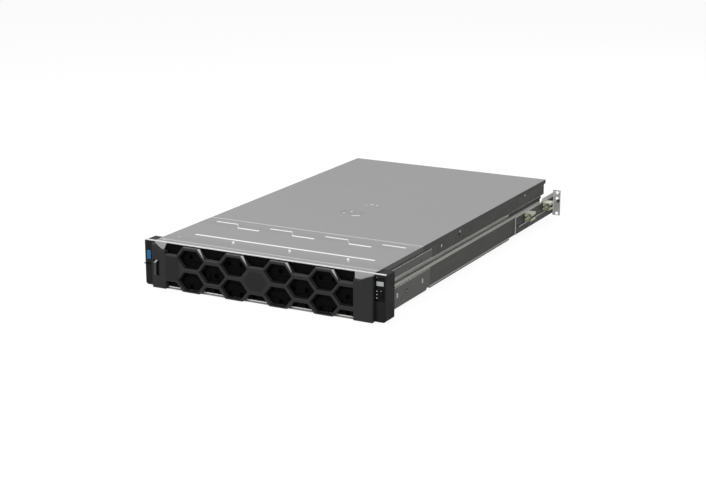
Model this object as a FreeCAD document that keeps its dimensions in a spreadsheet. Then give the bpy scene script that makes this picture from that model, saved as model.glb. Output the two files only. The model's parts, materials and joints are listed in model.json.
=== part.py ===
import FreeCAD, Part
import os
import re
import Sketcher

# Rack server, two rack units high, with a honeycomb bezel and a pair of slide rails.
# Millimetres. +X to the right seen from the front, +Y to the rear, +Z up.
# The origin is on the chassis's bottom face, midway, in the plane of the rack's front posts.

doc = FreeCAD.newDocument("rack_server")
sheet = doc.addObject("Spreadsheet::Sheet", "dims")

sizes = {
    # rack
    "rack_opening": 450.0,
    "rack_clearance": 0.5,
    "rack_hole_inset": 7.55,
    "rack_hole_low": 7.35,
    "rack_hole_step": 31.75,
    "rack_hole_extra": 12.7,
    "rack_hole_radius": 3.3,
    # chassis and covers
    "chassis_height": 86.1,
    "chassis_length": 766.0,
    "cover_gap": 5.0,
    "metal": 1.2,
    "recess_depth": 8.3,
    "shelf_height": 56.5,
    "cover_metal": 1.0,
    "cover_flange": 8.1,
    "cover_fit": 0.2,
    "cover_seam": 0.6,
    "seam_from_front": 185.0,
    "cover_overhang": 5.5,
    "thumb_pad_width": 46.0,
    "thumb_pad_length": 22.0,
    "thumb_pad_from_front": 339.0,
    "thumb_pad_deep": 0.5,
    # front frame
    "strip_depth": 3.0,
    "strip_tall": 2.1,
    "sill_tall": 2.0,
    "sill_lip_tall": 4.8,
    "front_plate_depth": 18.0,
    "left_tab_width": 24.7,
    "left_tab_foot": 17.0,
    "right_tab_width": 35.5,
    "tab_foot_inset": 9.5,
    "tab_drop": 6.0,
    "tab_tall": 16.0,
    # embossed beads of the front cover
    "bead_width": 4.6,
    "bead_height": 0.6,
    "bead_draft": 40.0,
    "long_bead_lead": 43.0,
    "long_bead_trail": 33.5,
    "long_bead_from_front": 67.0,
    "step_bead_pitch": 115.0,
    "bead_margin": 27.0,
    "step_bead_back_run": 46.0,
    "step_bead_slope_run": 15.0,
    "step_bead_front_run": 44.0,
    "step_bead_back": 162.0,
    "step_bead_front": 140.0,
    "tick_length": 22.0,
    "tick_run": 12.0,
    "tick_from_front": 46.0,
    "tick_lead": 6.0,
    # ears and control panel
    "ear_lap": 16.3,
    "ear_depth": 33.0,
    "ear_bottom": 2.0,
    "ear_corner": 3.5,
    "ear_bracket_length": 188.0,
    "ear_bracket_foot": 0.5,
    "ear_bracket_head": 4.5,
    "ear_bracket_thick": 2.0,
    "rivet_radius": 2.6,
    "rivet_head": 0.9,
    "rivet_pitch": 110.0,
    "rivet_stagger": 3.0,
    "panel_inset": 3.2,
    "panel_width": 16.5,
    "panel_drop": 5.0,
    "panel_tall": 41.0,
    "panel_thick": 1.4,
    "panel_proud": 0.3,
    "display_width": 13.5,
    "display_tall": 7.6,
    "display_drop": 6.1,
    "display_thick": 0.5,
    "lens_side": 1.8,
    "lens_proud": 0.3,
    "lens_inset": 2.6,
    "lens_drop": 23.2,
    "lens_pitch": 5.9,
    "button_inset": 11.0,
    "button_deep": 4.0,
    "button_travel": 1.0,
    "button_proud": 0.8,
    "button_gap": 0.3,
    "power_radius": 3.0,
    "power_drop": 22.0,
    "identify_radius": 2.4,
    "identify_drop": 33.0,
    "release_inset": 4.6,
    "release_width": 8.5,
    "release_tall": 16.0,
    "release_drop": 18.0,
    "release_deep": 8.0,
    "release_proud": 1.0,
    "release_travel": 2.0,
    "tag_drop": 43.0,
    "tag_thick": 1.2,
    "tag_width": 13.0,
    "tag_length": 28.0,
    "tag_reach": 1.8,
    "tag_gap": 0.3,
    # bezel
    "bezel_lap": 1.0,
    "bezel_bottom": 1.2,
    "bezel_head": 1.0,
    "bezel_depth": 8.0,
    "bezel_gap": 0.4,
    "end_width": 28.0,
    "end_slope": 16.0,
    "cap_width": 36.5,
    "cap_slope": 25.0,
    "comb_lead": 8.9,
    "comb_trail": 12.6,
    "comb_drop": 1.25,
    "bar_across": 5.26,
    "bar_tall": 6.9,
    "cell_draft": 11.0,
    "notch_tall": 10.3,
    "notch_open": 3.0,
    "grip_left": 2.6,
    "grip_width": 13.0,
    "grip_drop": 3.6,
    "grip_tall": 29.0,
    "grip_deep": 6.0,
    "latch_width": 5.0,
    "latch_thick": 2.2,
    "latch_gap": 0.4,
    # drives
    "cage_metal": 0.8,
    "bay_head": 0.6,
    "cage_tail": 3.0,
    "carrier_gap": 0.25,
    "carrier_setback": 2.0,
    "carrier_front": 20.0,
    "runner_least": 0.5,
    "carrier_rail_tall": 12.0,
    "drive_width": 101.6,
    "drive_length": 147.0,
    "drive_tall": 25.4,
    "drive_head": 0.6,
    "handle_inset": 12.0,
    "handle_tall": 9.0,
    "handle_thick": 3.0,
    "handle_low": 13.5,
    "vent_width": 9.0,
    "vent_low": 3.0,
    "vent_tall": 8.0,
    "vent_deep": 6.0,
    "backplane_thick": 2.0,
    "backplane_vent_width": 70.0,
    "backplane_vent_tall": 7.0,
    # fans
    "fan_wall_from_front": 203.0,
    "fan_pitch": 100.0,
    "fan_head": 3.9,
    "fan_deep": 38.0,
    "fan_rim": 2.4,
    "fan_tip_gap": 1.0,
    "fan_hub": 16.0,
    "fan_stator": 3.0,
    "fan_arm": 5.0,
    "fan_run": 0.3,
    "fan_blade_thick": 1.6,
    "fan_blade_chord": 24.0,
    "fan_blade_angle": 38.0,
    # system board
    "board_lift": 6.8,
    "board_thick": 1.6,
    "board_gap": 4.0,
    "board_from_fans": 8.0,
    "board_step": 12.0,
    "standoff_radius": 3.0,
    "standoff_inset": 12.0,
    "sink_width": 78.0,
    "sink_length": 108.0,
    "sink_head": 8.9,
    "sink_base": 8.0,
    "sink_fin": 1.6,
    "sink_space": 4.4,
    "sink_from_fans": 76.0,
    "module_length": 133.4,
    "module_tall": 31.0,
    "module_thick": 3.0,
    "module_pitch": 9.5,
    "module_clear": 10.0,
    "module_socket_tall": 5.0,
    "module_socket_width": 6.5,
    "duct_wall": 1.5,
    "duct_length": 190.0,
    "duct_head": 3.1,
    # rear
    "riser_length": 180.0,
    "riser_width": 124.0,
    "riser_gap": 5.0,
    "riser_head": 2.1,
    "riser_metal": 1.2,
    "slot_width": 108.0,
    "slot_tall": 14.0,
    "slot_low": 27.0,
    "slot_pitch": 18.5,
    "slot_lap": 2.0,
    "port_depth": 21.0,
    "port_gap": 0.4,
    "port_pitch": 24.0,
    "port_inset": 16.8,
    "network_width": 16.0,
    "network_tall": 13.6,
    "network_mouth_width": 11.8,
    "network_mouth_tall": 8.2,
    "serial_width": 14.6,
    "serial_tall": 8.0,
    "serial_mouth_width": 12.4,
    "serial_mouth_tall": 5.6,
    "mouth_deep": 13.0,
    # power supplies
    "psu_width": 73.5,
    "psu_head": 2.9,
    "psu_length": 185.0,
    "psu_gap": 0.5,
    "psu_proud": 1.5,
    "bay_metal": 1.0,
    "inlet_width": 27.6,
    "inlet_tall": 20.2,
    "inlet_deep": 15.0,
    "inlet_inset": 21.0,
    "grille_radius": 15.0,
    "grille_deep": 2.4,
    "grille_bar": 2.0,
    "grille_inset": 54.0,
    "psu_handle_reach": 26.0,
    "psu_handle_thick": 5.0,
    "psu_handle_tall": 12.0,
    "psu_handle_span": 30.0,
    "psu_latch_width": 4.5,
    "psu_latch_tall": 14.0,
    "psu_latch_reach": 15.0,
    "psu_latch_travel": 3.0,
    # rails
    "bracket_metal": 1.5,
    "rail_metal": 1.5,
    "rail_bottom": 5.6,
    "rail_head": 9.5,
    "rail_shoulder": 3.5,
    "race_gap": 3.2,
    "rail_run": 0.4,
    "glide_run": 0.3,
    "outer_lip": 4.0,
    "middle_lip": 2.5,
    "inner_tip_gap": 1.6,
    "outer_rail_start": 5.0,
    "outer_rail_length": 700.0,
    "middle_rail_start": 10.0,
    "middle_rail_length": 550.0,
    "inner_rail_start": 8.0,
    "inner_rail_tail": 30.0,
    "glide_width": 4.0,
    "glide_length": 500.0,
    "stud_radius": 3.0,
    "stud_head": 1.2,
    "post_gap": 0.3,
    "post_flange": 2.0,
    "post_plate_inset": 1.8,
    "post_plate_foot": 4.2,
    "post_plate_head": 5.1,
    "front_slope_run": 16.0,
    "front_slope_rise": 9.0,
    "front_slot_start": 42.5,
    "front_slot_pitch": 99.0,
    "front_slot_low": 22.5,
    "front_slot_tall": 9.0,
    "front_slot_wide": 4.0,
    "front_hole_start": 82.0,
    "front_hole_radius": 2.5,
    "front_bracket_length": 172.0,
    "front_bracket_drop": 0.3,
    "front_bracket_head": 4.5,
    "rear_bracket_length": 209.0,
    "rear_plate_face": 777.0,
    "rear_bracket_foot": 3.0,
    "rear_bracket_head": 2.0,
    "rear_gusset_length": 70.0,
    "rear_gusset_flat": 58.0,
    "rear_gusset_rise": 6.5,
    "rear_slot_start": 5.0,
    "rear_slot_length": 154.0,
    "rear_slot_drop": 0.5,
    "rear_slot_wide": 6.5,
    "clip_start": 46.0,
    "clip_pitch": 99.0,
    "clip_length": 24.0,
    "clip_tall": 15.7,
    "clip_thick": 1.8,
    "clip_gap": 0.2,
    "clip_reach": 14.5,
    "clip_key_length": 10.0,
    "rail_lip_rise": 4.0,
    "rail_lip_tall": 2.0,
    "rear_travel": 30.0,
}

for row, (alias, value) in enumerate(sizes.items(), 1):
    sheet.set(f"A{row}", alias)
    sheet.set(f"B{row}", str(value))
    sheet.setAlias(f"B{row}", alias)
doc.recompute()

# Planes that several pieces share, as expressions of the sizes.
front = "(-ear_depth)"
back = "(chassis_length - ear_depth)"
cover_half = "(rack_opening / 2 - cover_gap)"
cover_under = "(chassis_height - cover_metal)"
flange_foot = "(chassis_height - cover_flange)"
wall_face = f"({cover_half} - cover_metal - cover_fit)"
recess_face = f"({wall_face} - recess_depth)"
recess_inner = f"({recess_face} - metal)"
strip_foot = "(chassis_height - strip_tall)"
seam = "(seam_from_front - ear_depth)"
ear_side = "(rack_opening / 2 + ear_lap)"
rail_face = "(rack_opening / 2 - rack_clearance)"
board_top = "(metal + board_lift + board_thick)"
duct_top = f"({cover_under} - duct_head)"
rail_top = "(shelf_height - rail_head)"
sides = (("right", 1), ("left", -1))
counts = []


def bound(text):
    return re.sub(r"[a-z_]+", lambda word: "dims." + word[0] if word[0] in sizes else word[0], text)


def count(alias, text):
    """How many whole times something fits, kept in the sheet with the sizes."""
    row = len(sizes) + len(counts) + 1
    counts.append(alias)
    sheet.set(f"A{row}", alias)
    sheet.set(f"B{row}", f"=floor({text})")
    sheet.setAlias(f"B{row}", alias)
    doc.recompute()
    return int(sheet.get(alias))


def bind(item, prop, text):
    item.setExpression(prop, bound(text))


def box(name, x, y, z):
    item = doc.addObject("Part::Box", name)
    spans = (("Length", "x", x), ("Width", "y", y), ("Height", "z", z))
    for length, axis, (low, high) in spans:
        bind(item, length, f"({high}) - ({low})")
        bind(item, f"Placement.Base.{axis}", low)
    return item


def rod(name, radius, length, place, along):
    item = doc.addObject("Part::Cylinder", name)
    bind(item, "Radius", radius)
    bind(item, "Height", length)
    turn = FreeCAD.Rotation(FreeCAD.Vector(0, 0, 1), along)
    item.Placement = FreeCAD.Placement(FreeCAD.Vector(), turn)
    for axis, text in zip("xyz", place):
        bind(item, f"Placement.Base.{axis}", text)
    return item


def prism(name, corners, radius, length, place, along):
    item = doc.addObject("Part::Prism", name)
    item.Polygon = corners
    bind(item, "Circumradius", radius)
    bind(item, "Height", length)
    flat_on = FreeCAD.Rotation(along_z, 180 / corners)
    turn = FreeCAD.Rotation(along_z, along).multiply(flat_on)
    item.Placement = FreeCAD.Placement(FreeCAD.Vector(), turn)
    for axis, text in zip("xyz", place):
        bind(item, f"Placement.Base.{axis}", text)
    return item


along_x = FreeCAD.Vector(1, 0, 0)
along_y = FreeCAD.Vector(0, 1, 0)
along_z = FreeCAD.Vector(0, 0, 1)


def fuse(name, pieces):
    item = doc.addObject("Part::MultiFuse", name)
    item.Shapes = pieces
    item.Refine = True
    return item


def cut(name, base, tools):
    item = doc.addObject("Part::Cut", name)
    item.Base = base
    item.Tool = tools[0] if len(tools) == 1 else fuse(name + "_tools", tools)
    return item


def group(name, pieces):
    item = doc.addObject("Part::Compound", name)
    item.Links = pieces
    return item


def mirror(name, source):
    item = doc.addObject("Part::Mirroring", name)
    item.Source = source
    item.Normal = along_x
    return item


def placed(name, source, x="0", y="0", z="0"):
    item = group(name, [source])
    for axis, text in zip("xyz", (x, y, z)):
        bind(item, f"Placement.Base.{axis}", text)
    return item


def sketch_on(body, plane, name):
    drawing = body.newObject("Sketcher::SketchObject", name)
    support = next(part for part in body.Origin.OriginFeatures if part.Role == plane)
    drawing.AttachmentSupport = (support, [""])
    drawing.MapMode = "FlatFace"
    return drawing


def outline(drawing, points):
    first = drawing.GeometryCount
    count = len(points)
    start = FreeCAD.Vector(10, 0, 0)
    corners = [FreeCAD.Rotation(along_z, 360 * n / count).multVec(start) for n in range(count)]
    for n in range(count):
        drawing.addGeometry(Part.LineSegment(corners[n], corners[(n + 1) % count]), False)
    for n in range(count):
        join = Sketcher.Constraint("Coincident", first + n, 2, first + (n + 1) % count, 1)
        drawing.addConstraint(join)
    for n, (across, up) in enumerate(points):
        for kind, text in (("DistanceX", across), ("DistanceY", up)):
            index = drawing.addConstraint(Sketcher.Constraint(kind, first + n, 1, 1.0))
            bind(drawing, f"Constraints[{index}]", text)


def pad_on(body, drawing, name, depth, backwards=False):
    pad = body.newObject("PartDesign::Pad", name)
    pad.Profile = drawing
    pad.Reversed = backwards
    bind(pad, "Length", depth)
    return pad


def extruded(name, plane, points, depth, start):
    """A body of one outline: across Y for XZ_Plane, across X for YZ_Plane, up Z for XY_Plane."""
    body = doc.addObject("PartDesign::Body", name)
    drawing = sketch_on(body, plane, name + "_outline")
    outline(drawing, points)
    pad_on(body, drawing, name + "_pad", depth, plane == "XZ_Plane")
    axis = {"XZ_Plane": "y", "YZ_Plane": "x", "XY_Plane": "z"}[plane]
    bind(body, f"Placement.Base.{axis}", start)
    return body


def run(start, length):
    """The two ends of a length that begins at a place."""
    return start, f"{start} + {length}"


def about(middle, width):
    """The two ends of a width that is centred on a place."""
    return f"{middle} - {width} / 2", f"{middle} + {width} / 2"


def mirrored(points):
    """The other half of an outline that is the same on both sides."""
    return [(f"-({across})", up) for across, up in reversed(points)]


# Chassis

def chassis_pan():
    half = [
        (recess_face, "0"),
        (recess_face, "shelf_height"),
        (wall_face, "shelf_height"),
        (wall_face, cover_under),
        (f"{wall_face} - metal", cover_under),
        (f"{wall_face} - metal", "shelf_height + metal"),
        (recess_inner, "shelf_height + metal"),
        (recess_inner, "metal"),
    ]
    length = "chassis_length - strip_depth - metal"
    return extruded("chassis_pan", "XZ_Plane", half + mirrored(half), length, f"{front} + strip_depth")


def front_frame():
    face = (front, f"{front} + strip_depth")
    span = (f"-{ear_side}", ear_side)
    pieces = [
        box("frame_strip", span, face, (strip_foot, "chassis_height")),
        box("frame_plate", (f"-{wall_face}", wall_face),
            (front, f"{front} + front_plate_depth"), (cover_under, "chassis_height")),
        box("frame_sill", (f"-{recess_face}", recess_face), face, ("0", "sill_tall")),
        box("frame_sill_lip", (f"-{recess_face}", recess_face), run(front, "metal"), ("0", "sill_lip_tall")),
    ]
    tab_inner = {"right": ("right_tab_width", "right_tab_width"), "left": ("left_tab_width", "left_tab_foot")}
    for side, sign in sides:
        outer = f"{sign} * {wall_face}"
        inner = f"{sign} * ({recess_inner} - cage_metal)"
        ends = (inner, outer) if sign > 0 else (outer, inner)
        pieces.append(box(f"frame_post_{side}", ends, face, ("sill_tall", strip_foot)))
        top_width, foot_width = tab_inner[side]
        tab = [
            (f"{sign} * ({wall_face} - {top_width})", strip_foot),
            (f"{sign} * {wall_face}", strip_foot),
            (f"{sign} * {wall_face}", f"{strip_foot} - tab_drop"),
            (f"{sign} * ({wall_face} - tab_foot_inset)", f"{strip_foot} - tab_tall"),
            (f"{sign} * ({wall_face} - {foot_width})", f"{strip_foot} - tab_tall"),
        ]
        pieces.append(extruded(f"frame_tab_{side}", "XZ_Plane", tab, "metal", front))
    return fuse("front_frame", pieces)


def cover(name, start, length):
    half = [
        (f"{cover_half} - cover_metal", cover_under),
        (f"{cover_half} - cover_metal", flange_foot),
        (cover_half, flange_foot),
        (cover_half, "chassis_height"),
    ]
    return extruded(name, "XZ_Plane", half + mirrored(half), length, start)


bead_space = f"(2 * {cover_half} - bead_margin - step_bead_back_run)"
step_beads = 1 + count("more_beads", f"{bead_space} / step_bead_pitch")


def step_bead_left(n):
    return f"(bead_margin - {cover_half} + {n} * step_bead_pitch)"


def front_cover():
    start = f"{front} + front_plate_depth + cover_seam"
    edge = "(front_plate_depth + cover_seam)"
    item = cover("front_cover", start, f"seam_from_front - {edge}")

    def stroke(runs):
        near = [(across, f"{away} - {edge} - bead_width / 2") for across, away in runs]
        far = [(across, f"{away} - {edge} + bead_width / 2") for across, away in reversed(runs)]
        return near + far

    beads = sketch_on(item, "XY_Plane", "bead_outlines")
    bind(beads, "AttachmentOffset.Base.z", "chassis_height")
    outline(beads, stroke([
        (f"long_bead_lead - {cover_half}", "long_bead_from_front"),
        (f"{cover_half} - long_bead_trail", "long_bead_from_front"),
    ]))
    for n in range(step_beads):
        left = step_bead_left(n)
        turn = f"{left} + step_bead_back_run"
        runs = [(left, "step_bead_back"), (turn, "step_bead_back")]
        if n < step_beads - 1:
            runs.append((f"{turn} + step_bead_slope_run", "step_bead_front"))
            runs.append((f"{turn} + step_bead_slope_run + step_bead_front_run", "step_bead_front"))
        outline(beads, stroke(runs))
    near, far = about(f"tick_from_front - {edge}", "tick_length")
    for n in range(1, step_beads):
        middle = f"({step_bead_left(n)} - tick_lead)"
        left, right = about(f"({middle} - tick_run / 2)", "bead_width")
        near_left, near_right = about(f"({middle} + tick_run / 2)", "bead_width")
        outline(beads, [(near_left, near), (near_right, near), (right, far), (left, far)])
    raised = pad_on(item, beads, "bead_pad", "bead_height")
    bind(raised, "TaperAngle", "-bead_draft")
    return item


def main_cover():
    start = f"{seam} + cover_seam"
    length = "chassis_length - seam_from_front - cover_seam + cover_overhang"
    whole = cover("main_cover_sheet", start, length)
    pad = box("thumb_pad", about("0", "thumb_pad_width"),
              about("thumb_pad_from_front - ear_depth", "thumb_pad_length"),
              ("chassis_height - thumb_pad_deep", "chassis_height"))
    return cut("main_cover", whole, [pad])


# Ears and control panel

def ear(side, sign):
    inner = f"{sign} * {wall_face}"
    outer = f"{sign} * {ear_side}"
    flange = f"{sign} * ({cover_half} + cover_fit)"
    points = [
        (inner, "ear_bottom"),
        (f"{outer} - {sign} * ear_corner", "ear_bottom"),
        (outer, "ear_bottom + ear_corner"),
        (outer, strip_foot),
        (flange, strip_foot),
        (flange, f"{flange_foot} - cover_fit"),
        (inner, f"{flange_foot} - cover_fit"),
    ]
    return extruded(f"{side}_ear_block", "XZ_Plane", points, "ear_depth", front)


panel_top = f"({strip_foot} - panel_drop)"
panel_rise = (f"{panel_top} - panel_tall", panel_top)
buttons = (
    ("power", "power_radius", f"({panel_top} - power_drop)"),
    ("identify", "identify_radius", f"({panel_top} - identify_drop)"),
)
panel_left = f"({wall_face} + panel_inset)"
panel_front = f"({front} - panel_proud)"
lens_count = 3


def right_ear():
    block = ear("right", 1)
    well_depth = "button_deep + button_travel + button_gap"
    seat_depth = (front, f"{panel_front} + panel_thick")
    seat = box("panel_seat", run(panel_left, "panel_width"), seat_depth, panel_rise)
    wells = [seat]
    for name, radius, height in buttons:
        place = (f"{panel_left} + button_inset", front, height)
        wells.append(rod(f"{name}_well", f"{radius} + button_gap", well_depth, place, along_y))
    return cut("right_ear", block, wells)


def control_panel():
    plate = box("panel_plate", run(panel_left, "panel_width"), run(panel_front, "panel_thick"), panel_rise)
    display_top = f"({panel_top} - display_drop)"
    window = (about(f"{panel_left} + panel_width / 2", "display_width"), run(panel_front, "display_thick"),
              (f"{display_top} - display_tall", display_top))
    display = box("display_window", *window)
    holes = [box("display_seat", *window)]
    caps = []
    for name, radius, height in buttons:
        place = (f"{panel_left} + button_inset", panel_front, height)
        holes.append(rod(f"{name}_hole", f"{radius} + button_gap", "panel_thick", place, along_y))
        start = (place[0], f"{panel_front} - button_proud", height)
        length = "button_proud + panel_proud + button_deep"
        caps.append(rod(f"{name}_button", radius, length, start, along_y))
    lenses = []
    for n in range(lens_count):
        across = about(f"{panel_left} + lens_inset", "lens_side")
        rise = about(f"({panel_top} - lens_drop - {n} * lens_pitch)", "lens_side")
        through = run(panel_front, "panel_thick")
        holes.append(box(f"lens_seat_{n}", across, through, rise))
        lenses.append(box(f"lens_{n}", across, (f"{panel_front} - lens_proud", through[1]), rise))
    panel = cut("control_panel", plate, holes)
    return [panel, display, group("indicator_lenses", lenses)] + caps


def left_ear():
    block = ear("left", -1)
    outer = f"(-{ear_side})"
    release = (f"{outer} + release_inset", f"{outer} + release_inset + release_width")
    release_top = f"({strip_foot} - release_drop)"
    rise = (f"{release_top} - release_tall", release_top)
    well = box("release_well", (f"{release[0]} - button_gap", f"{release[1]} + button_gap"),
               (front, f"{front} + release_deep + release_travel + button_gap"),
               (f"{rise[0]} - button_gap", f"{rise[1]} + button_gap"))
    button = box("release_button", release, (f"{front} - release_proud", f"{front} + release_deep"), rise)
    tag_side = (f"{outer} - tag_reach", f"{outer} - tag_reach + tag_width")
    level = f"({strip_foot} - tag_drop)"
    slot = box("tag_slot", (tag_side[0], f"{tag_side[1]} + tag_gap"), run(front, "tag_length + tag_gap"),
               about(level, "(tag_thick + 2 * tag_gap)"))
    tag_depth = (f"{front} - tag_reach", f"{front} + tag_length")
    tag = box("info_tag", tag_side, tag_depth, about(level, "tag_thick"))
    return [cut("left_ear", block, [well, slot]), button, tag]


rivet_count = 2


def ear_brackets():
    plates = []
    rivets = []
    for side, sign in sides:
        near = f"{sign} * {wall_face}"
        far = f"{sign} * ({wall_face} + ear_bracket_thick)"
        ends = (near, far) if sign > 0 else (far, near)
        rise = ("shelf_height + ear_bracket_foot", f"{flange_foot} - ear_bracket_head")
        plates.append(box(f"ear_bracket_{side}", ends, ("0", "ear_bracket_length"), rise))
        for n in range(rivet_count):
            stagger = f"{(-1) ** n} * rivet_stagger"
            along = f"ear_bracket_length / 2 + {n - (rivet_count - 1) / 2} * rivet_pitch"
            place = (far, along, f"({rise[0]} + {rise[1]}) / 2 + {stagger}")
            rivets.append(rod(f"rivet_{side}_{n}", "rivet_radius", "rivet_head", place, along_x * sign))
    return group("ear_brackets", plates), rivets


# Bezel

def hexagon(across, up):
    return [
        (f"{across} - {half_width}", up),
        (f"{across} - {half_flat}", f"{up} - {half_tall}"),
        (f"{across} + {half_flat}", f"{up} - {half_tall}"),
        (f"{across} + {half_width}", up),
        (f"{across} + {half_flat}", f"{up} + {half_tall}"),
        (f"{across} - {half_flat}", f"{up} + {half_tall}"),
    ]


bezel_half = f"({cover_half} + bezel_lap)"
bezel_top = f"({strip_foot} - bezel_head)"
comb_columns = 9
bezel_middle = f"((bezel_bottom + {bezel_top}) / 2)"
comb_middle = f"({bezel_middle} - comb_drop)"
cell_row = f"(({bezel_top} - bezel_bottom) / 2)"
cell_pitch = f"((2 * {bezel_half} - end_width - cap_width - comb_lead - comb_trail) / {comb_columns - 1})"
half_tall = f"(({cell_row} - bar_tall) / 2)"
half_width = f"(({cell_pitch} - bar_across) / (1.5 - ({cell_row} / 2 - {half_tall}) / (2 * {half_tall})))"
half_flat = f"({half_width} / 2)"
grip_left_side = f"(grip_left - {bezel_half})"
grip_bottom = f"({bezel_middle} - grip_drop - grip_tall / 2)"


def column(n):
    """The middle of a column of cells, counted from the solid one in the middle."""
    return f"(end_width - {bezel_half} + comb_lead + {n + comb_columns // 2} * {cell_pitch})"


def bezel():
    foot = f"{bezel_top} - notch_tall"
    first = f"(end_width - {bezel_half})"
    last = f"({bezel_half} - cap_width)"
    points = [
        (f"-{bezel_half}", "bezel_bottom"),
        (f"-{bezel_half}", bezel_top),
        (f"end_slope - {bezel_half}", foot),
        (f"{first} + notch_open", foot),
        (f"{first} + notch_open", bezel_top),
        (f"{last} - notch_open", bezel_top),
        (f"{last} - notch_open", foot),
        (f"{bezel_half} - cap_slope", foot),
        (bezel_half, bezel_top),
        (bezel_half, "bezel_bottom"),
    ]
    start = f"{front} - bezel_gap - bezel_depth"
    item = extruded("bezel", "XZ_Plane", points, "bezel_depth", start)

    def cell(name, points, step="", copies=1):
        drawing = sketch_on(item, "XZ_Plane", name)
        outline(drawing, points)
        pocket = item.newObject("PartDesign::Pocket", name + "_pocket")
        pocket.Profile = drawing
        pocket.Type = "Length"
        bind(pocket, "Length", "bezel_depth")
        bind(pocket, "TaperAngle", "-cell_draft")
        doc.recompute()
        if copies > 1:
            pattern = item.newObject("PartDesign::LinearPattern", name + "_row")
            pattern.Originals = [pocket]
            pattern.Direction = (drawing, ["H_Axis"])
            pattern.Occurrences = copies
            bind(pattern, "Length", f"{copies - 1} * {step}")
            item.Tip = pattern
            doc.recompute()

    for word, sign in (("upper", 1), ("lower", -1)):
        level = f"{comb_middle} + {sign} * {cell_row} / 2"
        cell(f"{word}_cell", hexagon(column(-3), level), f"2 * {cell_pitch}", 4)
        flat = f"{comb_middle} + {sign} * ({cell_row} - {half_tall})"
        far = f"{comb_middle} + {sign} * ({cell_row} + bar_tall)"
        spread = f"({half_width} + ({half_width} - {half_flat}) * bar_tall / {half_tall})"
        cell(f"{word}_gap", [
            (f"{column(-2)} - {spread}", far),
            (f"{column(-2)} - {half_flat}", flat),
            (f"{column(-2)} + {half_flat}", flat),
            (f"{column(-2)} + {spread}", far),
        ], f"2 * {cell_pitch}", 3)
        cell(f"{word}_first_gap", [
            (first, far),
            (first, flat),
            (f"{column(-4)} + {half_flat}", flat),
            (f"{column(-4)} + {spread}", far),
        ])
        cell(f"{word}_last_gap", [
            (f"{column(4)} - {spread}", far),
            (f"{column(4)} - {half_flat}", flat),
            (last, flat),
            (last, far),
        ])
    cell("middle_cell", hexagon(column(-2), comb_middle), f"4 * {cell_pitch}", 2)
    cell("last_cell", [
        (f"{column(4)} - {half_width}", comb_middle),
        (f"{column(4)} - {half_flat}", f"{comb_middle} - {half_tall}"),
        (last, f"{comb_middle} - {half_tall}"),
        (last, f"{comb_middle} + {half_tall}"),
        (f"{column(4)} - {half_flat}", f"{comb_middle} + {half_tall}"),
    ])
    grip = sketch_on(item, "XZ_Plane", "grip_outline")
    outline(grip, [
        (grip_left_side, grip_bottom),
        (f"{grip_left_side} + grip_width", grip_bottom),
        (f"{grip_left_side} + grip_width", f"{grip_bottom} + grip_tall"),
        (grip_left_side, f"{grip_bottom} + grip_tall"),
    ])
    recess = item.newObject("PartDesign::Pocket", "grip_recess")
    recess.Profile = grip
    recess.Type = "Length"
    bind(recess, "Length", "grip_deep")
    item.Tip = recess
    return item


def bezel_latch():
    left = f"({grip_left_side} + latch_gap)"
    low = f"({grip_bottom} + latch_gap)"
    high = f"({grip_bottom} + grip_tall - latch_gap)"
    points = [
        (left, low),
        (f"{left} + latch_width", low),
        (f"{left} + latch_width", f"{high} - latch_width"),
        (f"{left} + 2 * latch_width", high),
        (f"{left} + latch_width", high),
        (left, f"{high} - latch_width"),
    ]
    start = f"{front} - bezel_gap - bezel_depth + latch_gap"
    return extruded("bezel_latch", "XZ_Plane", points, "latch_thick", start)


# Drives

cage_half = f"({recess_inner} - cover_fit)"
bay_least = "(drive_width + 2 * (carrier_gap + runner_least) + cage_metal)"
bay_tall = "(drive_tall + drive_head + bay_head)"
bay_columns = count("bay_columns", f"(2 * {cage_half} - cage_metal) / {bay_least}")
bay_rows = count("bay_rows", f"({cover_under} - metal - cage_metal) / ({bay_tall} + cage_metal)")
bay_wide = f"((2 * {cage_half} - {bay_columns + 1} * cage_metal) / {bay_columns})"
cage_rise = run("metal", f"({bay_rows} * {bay_tall} + {bay_rows + 1} * cage_metal)")
cage_start = f"{front} + strip_depth"
carrier_start = f"({front} + carrier_setback)"
carrier_end = f"({carrier_start} + carrier_front + drive_length)"
cage_end = f"({carrier_end} + cage_tail)"
bays = [(across, level) for level in range(bay_rows) for across in range(bay_columns)]


def bay_left(across):
    return f"(-{cage_half} + cage_metal + {across} * ({bay_wide} + cage_metal))"


def bay_foot(level):
    return f"(metal + cage_metal + {level} * ({bay_tall} + cage_metal))"


def drive_cage():
    length = (cage_start, cage_end)
    block = box("cage_block", (f"-{cage_half}", cage_half), length, cage_rise)
    spaces = []
    for across, level in bays:
        rise = run(bay_foot(level), bay_tall)
        spaces.append(box(f"bay_{across}_{level}", run(bay_left(across), bay_wide), length, rise))
    return cut("drive_cage", block, [group("bay_spaces", spaces)])


vent_count = 4


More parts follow.
